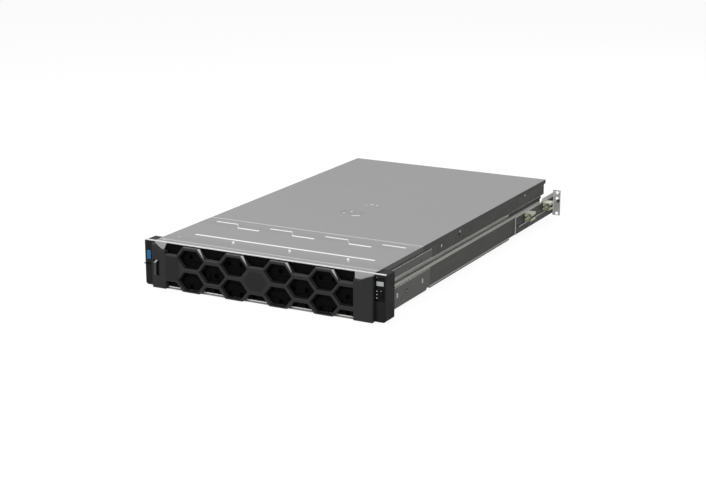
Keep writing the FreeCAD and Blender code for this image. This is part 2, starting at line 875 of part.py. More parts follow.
def drives():
    carriers = []
    handles = []
    disks = []
    for across, level in bays:
        mark = f"{across}_{level}"
        left = f"({bay_left(across)} + carrier_gap)"
        right = f"({bay_left(across)} + {bay_wide} - carrier_gap)"
        foot = bay_foot(level)
        nose_end = f"{carrier_start} + carrier_front"
        rise = run(foot, "drive_tall + drive_head")
        nose = box(f"nose_{mark}", (left, right), (carrier_start, nose_end), rise)
        handle_span = (f"{left} + handle_inset", f"{right} - handle_inset")
        handle_rise = run(f"{foot} + handle_low", "handle_tall")
        seat_span = (f"{handle_span[0]} - button_gap", f"{handle_span[1]} + button_gap")
        tools = [box(f"handle_seat_{mark}", seat_span, run(carrier_start, "handle_thick"),
                     (f"{handle_rise[0]} - button_gap", f"{handle_rise[1]} + button_gap"))]
        for n in range(vent_count):
            middle = f"({left} + ({right} - {left}) * {n + 0.5} / {vent_count})"
            tools.append(box(f"vent_{mark}_{n}", about(middle, "vent_width"), run(carrier_start, "vent_deep"),
                             run(f"{foot} + vent_low", "vent_tall")))
        head = cut(f"nose_cut_{mark}", nose, [group(f"nose_tools_{mark}", tools)])
        room = f"({right} - {left} - drive_width) / 2"
        runner_rise = run(foot, "carrier_rail_tall")
        runners = [
            box(f"left_runner_{mark}", run(left, room), (nose_end, carrier_end), runner_rise),
            box(f"right_runner_{mark}", (f"{right} - {room}", right), (nose_end, carrier_end), runner_rise),
        ]
        carriers.append(fuse(f"carrier_{mark}", [head] + runners))
        handles.append(box(f"handle_{mark}", handle_span, run(carrier_start, "handle_thick"), handle_rise))
        disks.append(box(f"disk_{mark}", (f"{left} + {room}", f"{right} - {room}"), (nose_end, carrier_end),
                         run(foot, "drive_tall")))
    return [group("drive_carriers", carriers), group("drive_handles", handles), group("hard_drives", disks)]


def backplane():
    through = run(cage_end, "backplane_thick")
    plate = box("backplane_board", (f"-{cage_half}", cage_half), through, cage_rise)
    vents = []
    for across, level in bays:
        span = about(f"({bay_left(across)} + {bay_wide} / 2)", "backplane_vent_width")
        top = f"({bay_foot(level)} + {bay_tall})"
        rise = (f"{top} - backplane_vent_tall", top)
        vents.append(box(f"backplane_vent_{across}_{level}", span, through, rise))
    return cut("backplane", plate, [group("backplane_vents", vents)])


# Fans

fan_start = "(fan_wall_from_front - ear_depth)"
fan_side = f"({cover_under} - metal - fan_head)"
fan_count = count("fan_count", f"(2 * {cage_half} + fan_pitch - {fan_side}) / fan_pitch")
blade_count = 5
fan_bore = f"({fan_side} / 2 - fan_rim)"
fan_axis = f"(metal + {fan_side} / 2)"


def fan_middle(n):
    return f"({n - (fan_count - 1) / 2} * fan_pitch)"


def fan_wall():
    plate = box("fan_sheet", (f"-{cage_half}", cage_half), (f"{fan_start} - metal", fan_start),
                run("metal", fan_side))
    holes = []
    for n in range(fan_count):
        place = (fan_middle(n), f"{fan_start} - metal", fan_axis)
        holes.append(prism(f"fan_hole_{n}", 8, fan_bore, "metal", place, along_y))
    return cut("fan_wall", plate, holes)


def fans():
    shell = box("fan_block", about("0", fan_side), ("0", "fan_deep"), about("0", fan_side))
    bore = prism("fan_bore_tool", 16, fan_bore, "fan_deep", ("0", "0", "0"), along_y)
    ring = cut("fan_ring", shell, [bore])
    stator_start = "fan_deep - fan_stator"
    hub = prism("fan_stator_hub", 8, "fan_hub", "fan_stator", ("0", stator_start, "0"), along_y)
    reach = f"({fan_bore} + fan_rim / 2)"
    arms = [
        box("fan_arm_across", (f"-{reach}", reach), (stator_start, "fan_deep"), about("0", "fan_arm")),
        box("fan_arm_up", about("0", "fan_arm"), (stator_start, "fan_deep"), (f"-{reach}", reach)),
    ]
    housing = fuse("fan_housing", [ring, hub] + arms)
    rotor_end = "(fan_deep - fan_stator - fan_run)"
    hub_length = f"{rotor_end} - fan_blade_thick"
    cap = rod("rotor_hub", "fan_hub", hub_length, ("0", "fan_blade_thick", "0"), along_y)
    blades = []
    for n in range(blade_count):
        blade = doc.addObject("Part::Box", f"rotor_blade_{n}")
        bind(blade, "Length", f"{fan_bore} - fan_tip_gap - fan_blade_chord / 8")
        bind(blade, "Width", "fan_blade_chord")
        bind(blade, "Height", "fan_blade_thick")
        lean = FreeCAD.Rotation(along_x, sizes["fan_blade_angle"])
        spin = FreeCAD.Rotation(along_y, 360 * n / blade_count)
        turn = spin.multiply(lean)
        offset = turn.multVec(FreeCAD.Vector(0, -sizes["fan_blade_chord"] / 2, -sizes["fan_blade_thick"] / 2))
        blade.Placement = FreeCAD.Placement(offset, turn)
        bind(blade, "Placement.Base.y", f"{rotor_end} / 2 + {offset.y}")
        blades.append(blade)
    rotor = fuse("fan_rotor", [cap] + blades)
    housings = []
    rotors = []
    for n in range(fan_count):
        place = (fan_middle(n), fan_start, fan_axis)
        housings.append(placed(f"fan_housing_{n + 1}", housing, *place))
        rotors.append(placed(f"fan_rotor_{n + 1}", rotor, *place))
    return [group("fan_housings", housings)] + rotors


# System board

fan_end = f"({fan_start} + fan_deep)"
board_half = f"({recess_inner} - board_gap)"
board_start = f"({fan_end} + board_from_fans)"
board_end = f"({back} - metal - board_gap)"
psu_right = f"({recess_inner} - psu_gap - bay_metal)"
psu_left = f"({psu_right} - psu_width)"
psu_tall = f"(({cover_under} - metal - psu_head - bay_metal - 4 * psu_gap) / 2)"
psu_start = f"({back} + psu_proud - psu_length)"
board_foot = "(metal + board_lift)"
bay_front = f"({psu_start} - board_step)"
sink_start = f"({fan_end} + sink_from_fans)"
sink_offset = f"({board_half} / 2)"
sink_top = f"({duct_top} - duct_wall - sink_head)"
sink_fins = count("sink_fins", "(sink_width - sink_fin) / (sink_fin + sink_space)")
near_bank = f"({sink_offset} - sink_width / 2 - module_clear)"
far_bank = f"({sink_offset} + sink_width / 2 + module_clear)"
module_banks = ((near_bank, -1), (far_bank, 1), (f"-{near_bank}", 1), (f"-{far_bank}", -1))
module_count = 4


def system_board():
    bay_side = f"({psu_left} - psu_gap - bay_metal - board_gap)"
    points = [
        (f"-{board_half}", board_start),
        (board_half, board_start),
        (board_half, bay_front),
        (bay_side, bay_front),
        (bay_side, board_end),
        (f"-{board_half}", board_end),
    ]
    board = extruded("board_plate", "XY_Plane", points, "board_thick", board_foot)
    sockets = []
    modules = []
    length = about(f"({sink_start} + sink_length / 2)", "module_length")
    socket_top = f"({board_top} + module_socket_tall)"
    for bank, (edge, way) in enumerate(module_banks):
        for n in range(module_count):
            middle = f"({edge} + {way} * {n + 0.5} * module_pitch)"
            sockets.append(box(f"socket_{bank}_{n}", about(middle, "module_socket_width"), length,
                               (board_top, socket_top)))
            modules.append(box(f"module_{bank}_{n}", about(middle, "module_thick"), length,
                               run(socket_top, "module_tall")))
    return [group("system_board", [board] + sockets), group("memory_modules", modules)]


def standoffs():
    posts = []
    middle = f"({board_start} + {bay_front}) / 2"
    reach = f"(({bay_front} - {board_start}) / 2 - standoff_inset)"
    for across in (-1, 0, 1):
        for away in (-1, 0, 1):
            place = (f"{across} * ({board_half} - standoff_inset)", f"{middle} + {away} * {reach}", "metal")
            name = f"standoff_{across + 1}_{away + 1}"
            posts.append(prism(name, 6, "standoff_radius", "board_lift", place, along_z))
    return group("standoffs", posts)


def heatsinks():
    length = run(sink_start, "sink_length")
    block = box("sink_block", about("0", "sink_width"), length, (board_top, sink_top))
    slots = []
    for n in range(sink_fins):
        left = f"(-sink_width / 2 + sink_fin + {n} * (sink_fin + sink_space))"
        slots.append(box(f"sink_slot_{n}", run(left, "sink_space"), length,
                         (f"{board_top} + sink_base", sink_top)))
    sink = cut("sink", block, [group("sink_slots", slots)])
    pair = [placed("sink_right", sink, sink_offset), placed("sink_left", sink, f"-{sink_offset}")]
    return group("heatsinks", pair)


def air_duct():
    half = [
        (f"{board_half} - duct_wall", f"{duct_top} - duct_wall"),
        (f"{board_half} - duct_wall", board_top),
        (board_half, board_top),
        (board_half, duct_top),
    ]
    return extruded("air_duct", "XZ_Plane", half + mirrored(half), "duct_length", board_start)


# Rear

riser_slots = count("riser_slots", f"({cover_under} - slot_low) / slot_pitch")
riser_top = f"({cover_under} - riser_head)"
risers = 2
port_kinds = ("network", "network", "serial", "serial")


def riser_left(n):
    return f"(-{board_half} + {n} * (riser_width + riser_gap))"


def rear():
    panel_front = f"({back} - metal)"
    half = [
        (recess_face, "0"),
        (recess_face, "shelf_height"),
        (wall_face, "shelf_height"),
        (wall_face, cover_under),
    ]
    plate = extruded("rear_sheet", "XZ_Plane", half + mirrored(half), "metal", panel_front)
    through = (panel_front, back)
    psu_span = (f"{psu_left} - psu_gap", f"{psu_right} + psu_gap")
    windows = [box("psu_window", psu_span, through, ("metal", f"{psu_foot(1)} + {psu_tall} + psu_gap"))]
    covers = []
    cages = []
    for n in range(risers):
        middle = f"({riser_left(n)} + riser_width / 2)"
        for level in range(riser_slots):
            low = f"(slot_low + {level} * slot_pitch)"
            windows.append(box(f"slot_window_{n}_{level}", about(middle, "slot_width"), through,
                               run(low, "slot_tall")))
            covers.append(box(f"slot_cover_{n}_{level}", about(middle, "(slot_width + 2 * slot_lap)"),
                              (f"{panel_front} - metal", panel_front),
                              run(f"{low} - slot_lap", "slot_tall + 2 * slot_lap")))
        left = riser_left(n)
        right = f"({left} + riser_width)"
        shape = [
            (f"{right} - riser_metal", board_top),
            (right, board_top),
            (right, riser_top),
            (left, riser_top),
            (left, f"{riser_top} - riser_metal"),
            (f"{right} - riser_metal", f"{riser_top} - riser_metal"),
        ]
        start = f"{back} - 2 * metal - board_gap - riser_length"
        cages.append(extruded(f"riser_{n}", "XZ_Plane", shape, "riser_length", start))
    ports = []
    face = f"({back} + port_gap)"
    for n, kind in enumerate(port_kinds):
        middle = f"(-{board_half} + port_inset + {n} * port_pitch)"
        level = f"({board_top} + {kind}_tall / 2)"
        shell = box(f"port_{n}", about(middle, f"{kind}_width"), (f"{face} - port_depth", face),
                    about(level, f"{kind}_tall"))
        mouth = box(f"mouth_{n}", about(middle, f"{kind}_mouth_width"), (f"{face} - mouth_deep", face),
                    about(level, f"{kind}_mouth_tall"))
        ports.append(cut(f"port_shell_{n}", shell, [mouth]))
        windows.append(box(f"port_window_{n}", about(middle, f"({kind}_width + 2 * port_gap)"), through,
                           about(level, f"({kind}_tall + 2 * port_gap)")))
    panel = cut("rear_panel", plate, [group("rear_windows", windows)])
    return [panel, group("slot_covers", covers), group("riser_cages", cages), group("rear_ports", ports)]


def psu_foot(n):
    return f"(metal + psu_gap + {n} * ({psu_tall} + 2 * psu_gap + bay_metal))"


def power_bay():
    span = (f"{psu_left} - psu_gap - bay_metal", f"{psu_right} + psu_gap + bay_metal")
    length = (f"{psu_start} - bay_metal", f"{back} - metal")
    shelf_foot = f"({psu_foot(0)} + {psu_tall} + psu_gap)"
    wall = box("bay_wall", run(span[0], "bay_metal"), length, ("metal", f"{psu_foot(1)} + {psu_tall}"))
    shelf = box("bay_shelf", span, length, (shelf_foot, f"{shelf_foot} + bay_metal"))
    stop = box("bay_stop", span, (length[0], psu_start), ("metal", f"metal + {psu_tall} / 2"))
    return fuse("power_bay", [wall, shelf, stop])


def power_supply(n):
    foot = psu_foot(n)
    face = f"({back} + psu_proud)"
    block = box(f"psu_block_{n}", (psu_left, psu_right), (psu_start, face), run(foot, psu_tall))
    middle = f"({foot} + {psu_tall} / 2)"
    inlet = box(f"inlet_{n}", about(f"{psu_left} + inlet_inset", "inlet_width"),
                (f"{face} - inlet_deep", face), about(middle, "inlet_tall"))
    grille_middle = f"({psu_left} + grille_inset)"
    grille_floor = f"({face} - grille_deep)"
    well = rod(f"grille_{n}", "grille_radius", "grille_deep", (grille_middle, grille_floor, middle), along_y)
    bars = [
        box(f"grille_across_{n}", about(grille_middle, "2 * grille_radius"), (grille_floor, face),
            about(middle, "grille_bar")),
        box(f"grille_up_{n}", about(grille_middle, "grille_bar"), (grille_floor, face),
            about(middle, "2 * grille_radius")),
    ]
    case = cut(f"psu_case_{n + 1}", block, [inlet, cut(f"grille_rings_{n}", well, bars)])
    rise = about(middle, "psu_handle_tall")
    handle_right = f"({psu_right} - psu_latch_width - psu_latch_travel - latch_gap)"
    span = (f"{handle_right} - psu_handle_span", handle_right)
    loop = box(f"handle_loop_{n}", span, run(face, "psu_handle_reach"), rise)
    gap = box(f"handle_gap_{n}", (f"{span[0]} + psu_handle_thick", f"{span[1]} - psu_handle_thick"),
              (face, f"{face} + psu_handle_reach - psu_handle_thick"), rise)
    handle = cut(f"psu_handle_{n + 1}", loop, [gap])
    latch = box(f"psu_latch_{n + 1}", (f"{psu_right} - psu_latch_width", psu_right),
                (f"{face} + button_gap", f"{face} + psu_latch_reach"), about(middle, "psu_latch_tall"))
    return [case, handle, latch]


# Rails, made for the right side and mirrored for the left

outer_web = f"({rail_face} - bracket_metal)"
outer_inside = f"({outer_web} - rail_metal)"
middle_web = f"({outer_inside} - rail_run)"
middle_inside = f"({middle_web} - rail_metal)"
middle_top = f"({rail_top} - rail_metal - race_gap)"
middle_foot = "(rail_bottom + rail_metal + race_gap)"
inner_top = f"({middle_top} - rail_metal - race_gap)"
inner_foot = f"({middle_foot} + rail_metal + race_gap)"
inner_rail_length = f"({back} - inner_rail_tail - inner_rail_start)"
rear_bracket_start = "(rear_plate_face - rear_bracket_length)"
rear_bracket_top = f"({rail_top} - rear_bracket_head)"
rear_slot_height = f"((rail_bottom + {rail_top}) / 2 - rear_slot_drop)"


def inner_rail():
    tip = f"({middle_inside} - inner_tip_gap)"
    points = [
        (recess_face, inner_foot),
        (tip, inner_foot),
        (tip, f"{inner_foot} + rail_metal"),
        (f"{recess_face} + rail_metal", f"{inner_foot} + rail_metal"),
        (f"{recess_face} + rail_metal", f"{inner_top} - rail_metal"),
        (tip, f"{inner_top} - rail_metal"),
        (tip, inner_top),
        (recess_face, inner_top),
    ]
    return extruded("inner_rail_right", "XZ_Plane", points, inner_rail_length, "inner_rail_start")


def middle_rail():
    lip = f"({recess_face} + middle_lip)"
    points = [
        (lip, middle_foot),
        (middle_web, middle_foot),
        (middle_web, middle_top),
        (lip, middle_top),
        (lip, f"{middle_top} - rail_metal"),
        (middle_inside, f"{middle_top} - rail_metal"),
        (middle_inside, f"{middle_foot} + rail_metal"),
        (lip, f"{middle_foot} + rail_metal"),
    ]
    return extruded("middle_rail_right", "XZ_Plane", points, "middle_rail_length", "middle_rail_start")


def glide_strips():
    length = about("middle_rail_start + middle_rail_length / 2", "glide_length")
    span = run(f"({recess_face} + outer_lip)", "glide_width")
    levels = (
        (middle_top, f"{rail_top} - rail_metal - glide_run"),
        ("rail_bottom + rail_metal + glide_run", middle_foot),
        (f"{inner_top} + glide_run", f"{middle_top} - rail_metal"),
        (f"{middle_foot} + rail_metal", f"{inner_foot} - glide_run"),
    )
    strips = [box(f"glide_{n}", span, length, level) for n, level in enumerate(levels)]
    return group("glide_strips_right", strips)


def outer_rail():
    lip = f"({recess_face} + outer_lip)"
    bend = "(rail_shoulder - rail_metal * tan(22.5))"
    points = [
        (lip, "rail_bottom"),
        (f"{outer_web} - rail_shoulder", "rail_bottom"),
        (outer_web, "rail_bottom + rail_shoulder"),
        (outer_web, f"{rail_top} - rail_shoulder"),
        (f"{outer_web} - rail_shoulder", rail_top),
        (lip, rail_top),
        (lip, f"{rail_top} - rail_metal"),
        (f"{outer_inside} - {bend}", f"{rail_top} - rail_metal"),
        (outer_inside, f"{rail_top} - rail_metal - {bend}"),
        (outer_inside, f"rail_bottom + rail_metal + {bend}"),
        (f"{outer_inside} - {bend}", "rail_bottom + rail_metal"),
        (lip, "rail_bottom + rail_metal"),
    ]
    channel_rail = extruded("outer_channel", "XZ_Plane", points, "outer_rail_length", "outer_rail_start")
    skirt = [
        (outer_inside, "rail_bottom + rail_shoulder"),
        (outer_inside, "rail_bottom"),
        (rail_face, "rail_bottom"),
        (rail_face, "rail_bottom + rail_lip_tall"),
        (outer_web, "rail_bottom + rail_lip_rise"),
        (outer_web, "rail_bottom + rail_shoulder"),
    ]
    lip_length = f"{rear_bracket_start} - rear_travel - front_bracket_length - 3 * post_gap"
    lip_piece = extruded("rail_lip", "XZ_Plane", skirt, lip_length, "front_bracket_length + post_gap")
    return fuse("outer_rail_right", [channel_rail, lip_piece])


hole_levels = (
    "rack_hole_low",
    "(rack_hole_low + rack_hole_step)",
    "(rack_hole_low + rack_hole_step + rack_hole_extra)",
)


def post_plate(name, start):
    plate = box(f"{name}_blank", (outer_web, f"{ear_side} - post_plate_inset"), run(start, "post_flange"),
                ("rack_hole_low - post_plate_foot", f"{hole_levels[-1]} + post_plate_head"))
    holes = []
    for n, level in enumerate(hole_levels):
        place = ("rack_opening / 2 + rack_hole_inset", start, level)
        holes.append(rod(f"{name}_hole_{n}", "rack_hole_radius", "post_flange", place, along_y))
    return cut(f"{name}_plate", plate, holes)


def front_bracket():
    low = "(rail_bottom - front_bracket_drop)"
    high = f"({rail_top} - front_bracket_head)"
    profile = [
        ("post_gap", low),
        ("front_bracket_length - front_slope_run", low),
        ("front_bracket_length", f"{low} + front_slope_rise"),
        ("front_bracket_length", high),
        ("post_gap", high),
    ]
    web = extruded("front_web", "YZ_Plane", profile, "bracket_metal", outer_web)
    tools = []
    for n in range(2):
        along = about(f"(front_slot_start + {n} * front_slot_pitch)", "front_slot_wide")
        rise = run("front_slot_low", "front_slot_tall")
        tools.append(box(f"front_slot_{n}", (outer_web, rail_face), along, rise))
    middle = (outer_web, "front_hole_start", "front_slot_low + front_slot_tall / 2")
    tools.append(rod("front_hole", "front_hole_radius", "bracket_metal", middle, along_x))
    slotted = cut("front_web_slotted", web, tools)
    return fuse("front_bracket_right", [slotted, post_plate("front_post", "post_gap")])


def rear_bracket():
    plate_start = "(rear_plate_face - post_flange)"
    profile = [
        (rear_bracket_start, "rail_bottom + rear_bracket_foot"),
        (plate_start, "rail_bottom + rear_bracket_foot"),
        (plate_start, f"{rear_bracket_top} + rear_gusset_rise"),
        (f"{plate_start} - rear_gusset_flat", f"{rear_bracket_top} + rear_gusset_rise"),
        (f"{plate_start} - rear_gusset_length", rear_bracket_top),
        (rear_bracket_start, rear_bracket_top),
    ]
    web = extruded("rear_web", "YZ_Plane", profile, "bracket_metal", outer_web)
    slot_start = f"({rear_bracket_start} + rear_slot_start)"
    slot = box("rear_slot", (outer_web, rail_face), run(slot_start, "rear_slot_length"),
               about(rear_slot_height, "rear_slot_wide"))
    slotted = cut("rear_web_slotted", web, [slot])
    return fuse("rear_bracket_right", [slotted, post_plate("rear_post", plate_start)])


def channel(name, face, start):
    """A clip of bent sheet that opens outwards."""
    length = run(start, "clip_length")
    low = f"({rear_slot_height} + rear_slot_wide / 2 - clip_thick)"
    high = f"({low} + clip_tall)"
    reach = run(face, "clip_reach")
    return [
        box(f"{name}_web", run(face, "clip_thick"), length, (low, high)),
        box(f"{name}_foot", reach, length, run(low, "clip_thick")),
        box(f"{name}_head", reach, length, (f"{high} - clip_thick", high)),
    ]


def guide_clip():
    start = f"({rear_bracket_start} + clip_start)"
    face = f"({rail_face} + clip_gap)"
    key = box("clip_key", (outer_web, face), about(f"{start} + clip_length / 2", "clip_key_length"),
              about(rear_slot_height, "(rear_slot_wide - 2 * clip_gap)"))
    return fuse("guide_clip_right", channel("guide", face, start) + [key])


def end_clip():
    start = f"({rear_bracket_start} + clip_start + clip_pitch)"
    return fuse("end_clip_right", channel("end", rail_face, start))


stud_count = 3


def rail_studs():
    studs = []
    level = f"(({inner_foot} + {inner_top}) / 2)"
    for side, sign in sides:
        for n in range(stud_count):
            along = f"inner_rail_start + {inner_rail_length} * {n + 0.5} / {stud_count}"
            place = (f"{sign} * ({recess_face} + rail_metal)", along, level)
            studs.append(prism(f"stud_{side}_{n}", 6, "stud_radius", "stud_head", place, along_x * sign))
    return studs


# Assembly

nodes = [chassis_pan(), front_frame(), front_cover(), main_cover(), right_ear()]
nodes += control_panel()
nodes += left_ear()
brackets, rivet_heads = ear_brackets()
nodes += [brackets, group("fasteners", rivet_heads + rail_studs()), bezel(), bezel_latch()]
nodes += [drive_cage(), backplane(), fan_wall()]
nodes += drives()
nodes += fans()
nodes += system_board()
nodes += [standoffs(), heatsinks(), air_duct(), power_bay()]
nodes += rear()
for unit in range(2):
    nodes += power_supply(unit)
inner = inner_rail()
nodes.append(group("inner_rails", [inner, mirror("inner_rail_left", inner)]))
for make in (middle_rail, glide_strips, outer_rail, front_bracket, rear_bracket, guide_clip, end_clip):
    right = make()
    nodes += [right, mirror(right.Label.replace("right", "left"), right)]

doc.recompute()
for item in doc.Objects:
    if "Invalid" in item.State or "Error" in item.State:
        raise RuntimeError(f"{item.Label} failed: {item.State}")
for item in nodes:
    if item.Shape.isNull() or not item.Shape.isValid():
        raise RuntimeError(f"{item.Label} has no valid shape")

os.makedirs("parts", exist_ok=True)
for item in nodes:
    item.Shape.exportStep(f"parts/{item.Label}.step")
    print(item.Label, len(item.Shape.Solids), round(item.Shape.Volume / 1000, 1))
print(len(nodes), "nodes")
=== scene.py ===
# Rack server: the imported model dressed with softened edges, finishes and small parts.
import json
import math
import bpy
from mathutils import Matrix, Vector


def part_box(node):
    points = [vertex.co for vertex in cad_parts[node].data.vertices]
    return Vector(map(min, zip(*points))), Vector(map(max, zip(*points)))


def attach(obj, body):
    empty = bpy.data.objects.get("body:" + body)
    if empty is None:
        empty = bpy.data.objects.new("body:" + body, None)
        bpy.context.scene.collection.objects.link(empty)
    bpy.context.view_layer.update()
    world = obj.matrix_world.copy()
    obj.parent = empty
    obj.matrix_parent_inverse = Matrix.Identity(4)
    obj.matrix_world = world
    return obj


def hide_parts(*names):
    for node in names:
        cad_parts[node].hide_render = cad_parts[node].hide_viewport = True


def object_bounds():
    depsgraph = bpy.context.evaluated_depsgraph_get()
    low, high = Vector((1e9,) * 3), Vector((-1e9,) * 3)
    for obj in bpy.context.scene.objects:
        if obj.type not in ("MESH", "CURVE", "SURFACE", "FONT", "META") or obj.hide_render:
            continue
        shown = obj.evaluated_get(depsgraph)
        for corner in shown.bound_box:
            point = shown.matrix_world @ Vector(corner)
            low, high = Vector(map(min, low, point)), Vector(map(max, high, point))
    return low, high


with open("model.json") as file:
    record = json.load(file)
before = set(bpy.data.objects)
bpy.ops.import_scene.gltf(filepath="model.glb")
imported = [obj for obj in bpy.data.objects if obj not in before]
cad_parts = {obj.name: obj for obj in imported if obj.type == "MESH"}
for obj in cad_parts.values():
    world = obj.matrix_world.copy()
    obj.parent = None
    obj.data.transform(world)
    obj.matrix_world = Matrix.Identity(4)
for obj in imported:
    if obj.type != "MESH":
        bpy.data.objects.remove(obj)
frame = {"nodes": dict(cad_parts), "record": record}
nodes = frame["nodes"]
cadLow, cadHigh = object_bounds()
bodyOf = {}
for bodyName, members in frame["record"]["behaviour"]["bodies"].items():
    for member in members:
        bodyOf[member] = bodyName
mm = 0.001  # Blender works in metres, the sizes below are in millimetres
alongX, alongY, alongZ = (1, 0, 0), (0, 1, 0), (0, 0, 1)
towardsFront = (0, -1, 0)
print("stage: frame loaded,", len(nodes), "nodes")


# selecting and shaping

shaping = {"facing": 0.9, "edgeAngle": math.radians(28), "shadeAngle": math.radians(35)}


def clearSelection():
    if bpy.context.object and bpy.context.object.mode != "OBJECT":
        bpy.ops.object.mode_set(mode="OBJECT")
    bpy.ops.object.select_all(action="DESELECT")


def activate(piece):
    clearSelection()
    piece.select_set(True)
    bpy.context.view_layer.objects.active = piece


def startEdit(piece, action="SELECT"):
    activate(piece)
    bpy.ops.object.mode_set(mode="EDIT")
    bpy.ops.mesh.select_mode(type="FACE")
    bpy.ops.mesh.select_all(action=action)


def leaveEdit():
    bpy.ops.object.mode_set(mode="OBJECT")


def pickFaces(piece, test):
    startEdit(piece, "DESELECT")
    leaveEdit()
    for face in piece.data.polygons:
        face.select = test(face.center, face.normal)
    bpy.ops.object.mode_set(mode="EDIT")


def pickSide(piece, way):
    pickFaces(piece, lambda centre, normal: normal.dot(Vector(way)) > shaping["facing"])


def taperSide(piece, way, size):
    pickSide(piece, way)
    bpy.ops.transform.resize(value=size)
    leaveEdit()


def shiftSide(piece, way, offset):
    pickSide(piece, way)
    bpy.ops.transform.translate(value=[value * mm for value in offset])
    leaveEdit()


def hollowSide(piece, way, rim, deep, steep=False):
    # the face is inset and pushed in, with sloping or with steep walls
    pickSide(piece, way)
    bpy.ops.mesh.inset(thickness=rim * mm)
    inwards = [-value * deep * mm for value in way]
    if steep:
        bpy.ops.mesh.extrude_region_move(TRANSFORM_OT_translate={"value": inwards})
    else:
        bpy.ops.transform.translate(value=inwards)
    leaveEdit()


def addModifier(piece, kind, **settings):
    activate(piece)
    modifier = piece.modifiers.new(kind.title(), kind)
    for name, value in settings.items():
        setattr(modifier, name, value)
    bpy.ops.object.modifier_apply(modifier=modifier.name)


def cutAway(piece, cutter):
    addModifier(piece, "BOOLEAN", operation="DIFFERENCE", solver="EXACT", object=cutter)
    bpy.data.objects.remove(cutter)


def breakEdges(piece, width, segments=2, **settings):
    addModifier(piece, "BEVEL", width=width * mm, segments=segments, limit_method="ANGLE",
                angle_limit=shaping["edgeAngle"], **settings)


def evenShade(piece):
    # flat faces stay flat and the broken edges turn smoothly between them
    activate(piece)
    bpy.ops.object.shade_smooth_by_angle(angle=shaping["shadeAngle"])
    addModifier(piece, "WEIGHTED_NORMAL", keep_sharp=True, weight=100)


def settle(piece):
    activate(piece)
    bpy.ops.object.transform_apply(location=True, rotation=True, scale=True)


# starts and copies

axisTurns = {"X": (0, math.pi / 2, 0), "Y": (math.pi / 2, 0, 0), "Z": (0, 0, 0)}


def about(middle, size):
    return (middle - size / 2, middle + size / 2)


def nodeBox(name):
    return [[value / mm for value in corner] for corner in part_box(name)]


def addBlock(name, across, along, levels):
    clearSelection()
    spans = [sorted(span) for span in (across, along, levels)]
    bpy.ops.mesh.primitive_cube_add(size=1, location=[(low + high) / 2 * mm for low, high in spans])
    piece = bpy.context.object
    piece.name = name
    piece.scale = [(high - low) * mm for low, high in spans]
    settle(piece)
    return piece


def addRound(name, centre, radius, depth, axis, sides=24):
    clearSelection()
    bpy.ops.mesh.primitive_cylinder_add(vertices=sides, radius=radius * mm, depth=depth * mm,
                                        location=[value * mm for value in centre], rotation=axisTurns[axis])
    piece = bpy.context.object
    piece.name = name
    settle(piece)
    return piece


def copyTo(piece, name, offset):
    twin = piece.copy()
    twin.data = piece.data.copy()
    twin.name = name
    bpy.context.scene.collection.objects.link(twin)
    twin.data.transform(Matrix.Translation([value * mm for value in offset]))
    return twin


def mirrorMesh(piece):
    piece.data.transform(Matrix.Scale(-1, 4, alongX))
    piece.data.flip_normals()


def joinAll(pieces, name):
    activate(pieces[0])
    for piece in pieces:
        piece.select_set(True)
    bpy.ops.object.join()
    pieces[0].name = name
    return pieces[0]


# shader nodes

rangeInputs = ("Value", "From Min", "From Max", "To Min", "To Max")
mixFactor, mixFirst, mixSecond, mixResult = 0, 6, 7, 2  # the sockets of a Mix node set to colour


def addNode(tree, kind, **settings):
    node = tree.nodes.new(kind)
    for name, value in settings.items():
        setattr(node, name, value)
    return node


def feed(tree, socket, value):
    # an output is linked to the socket, a plain value is set on it
    if isinstance(value, bpy.types.NodeSocket):
        tree.links.new(value, socket)
    else:
        socket.default_value = value


def addMath(tree, operation, first, second):
    node = addNode(tree, "ShaderNodeMath", operation=operation)
    feed(tree, node.inputs[0], first)
    feed(tree, node.inputs[1], second)
    return node.outputs[0]


def addDot(tree, first, second):
    node = addNode(tree, "ShaderNodeVectorMath", operation="DOT_PRODUCT")
    feed(tree, node.inputs[0], first)
    feed(tree, node.inputs[1], second)
    return node.outputs["Value"]


def addRange(tree, value, fromLow, fromHigh, toLow=0.0, toHigh=1.0):
    node = addNode(tree, "ShaderNodeMapRange", interpolation_type="SMOOTHSTEP")
    for label, setting in zip(rangeInputs, (value, fromLow, fromHigh, toLow, toHigh)):
        feed(tree, node.inputs[label], setting)
    return node.outputs["Result"]


def addNoise(tree, where, scale, detail, distortion=0.0):
    node = addNode(tree, "ShaderNodeTexNoise")
    values = {"Vector": where, "Scale": scale, "Detail": detail, "Distortion": distortion}
    for label, value in values.items():
        feed(tree, node.inputs[label], value)
    return node.outputs["Fac"]


def mixColour(tree, factor, first, second):
    node = addNode(tree, "ShaderNodeMix", data_type="RGBA", clamp_factor=True)
    feed(tree, node.inputs[mixFactor], factor)
    for place, colour in ((mixFirst, first), (mixSecond, second)):
        feed(tree, node.inputs[place], (*colour, 1.0) if isinstance(colour, tuple) else colour)
    return node.outputs[mixResult]


def makeGroup(name, inputs, outputs):
    group = bpy.data.node_groups.new(name, "ShaderNodeTree")
    for label, value in inputs.items():
        kind = "NodeSocketFloat" if isinstance(value, float) else "NodeSocketVector"
        socket = group.interface.new_socket(name=label, in_out="INPUT", socket_type=kind)
        if value is not None:
            socket.default_value = value
    for label in outputs:
        group.interface.new_socket(name=label, in_out="OUTPUT", socket_type="NodeSocketFloat")
    return group, group.nodes.new("NodeGroupInput").outputs, group.nodes.new("NodeGroupOutput").inputs


# effects that several finishes share

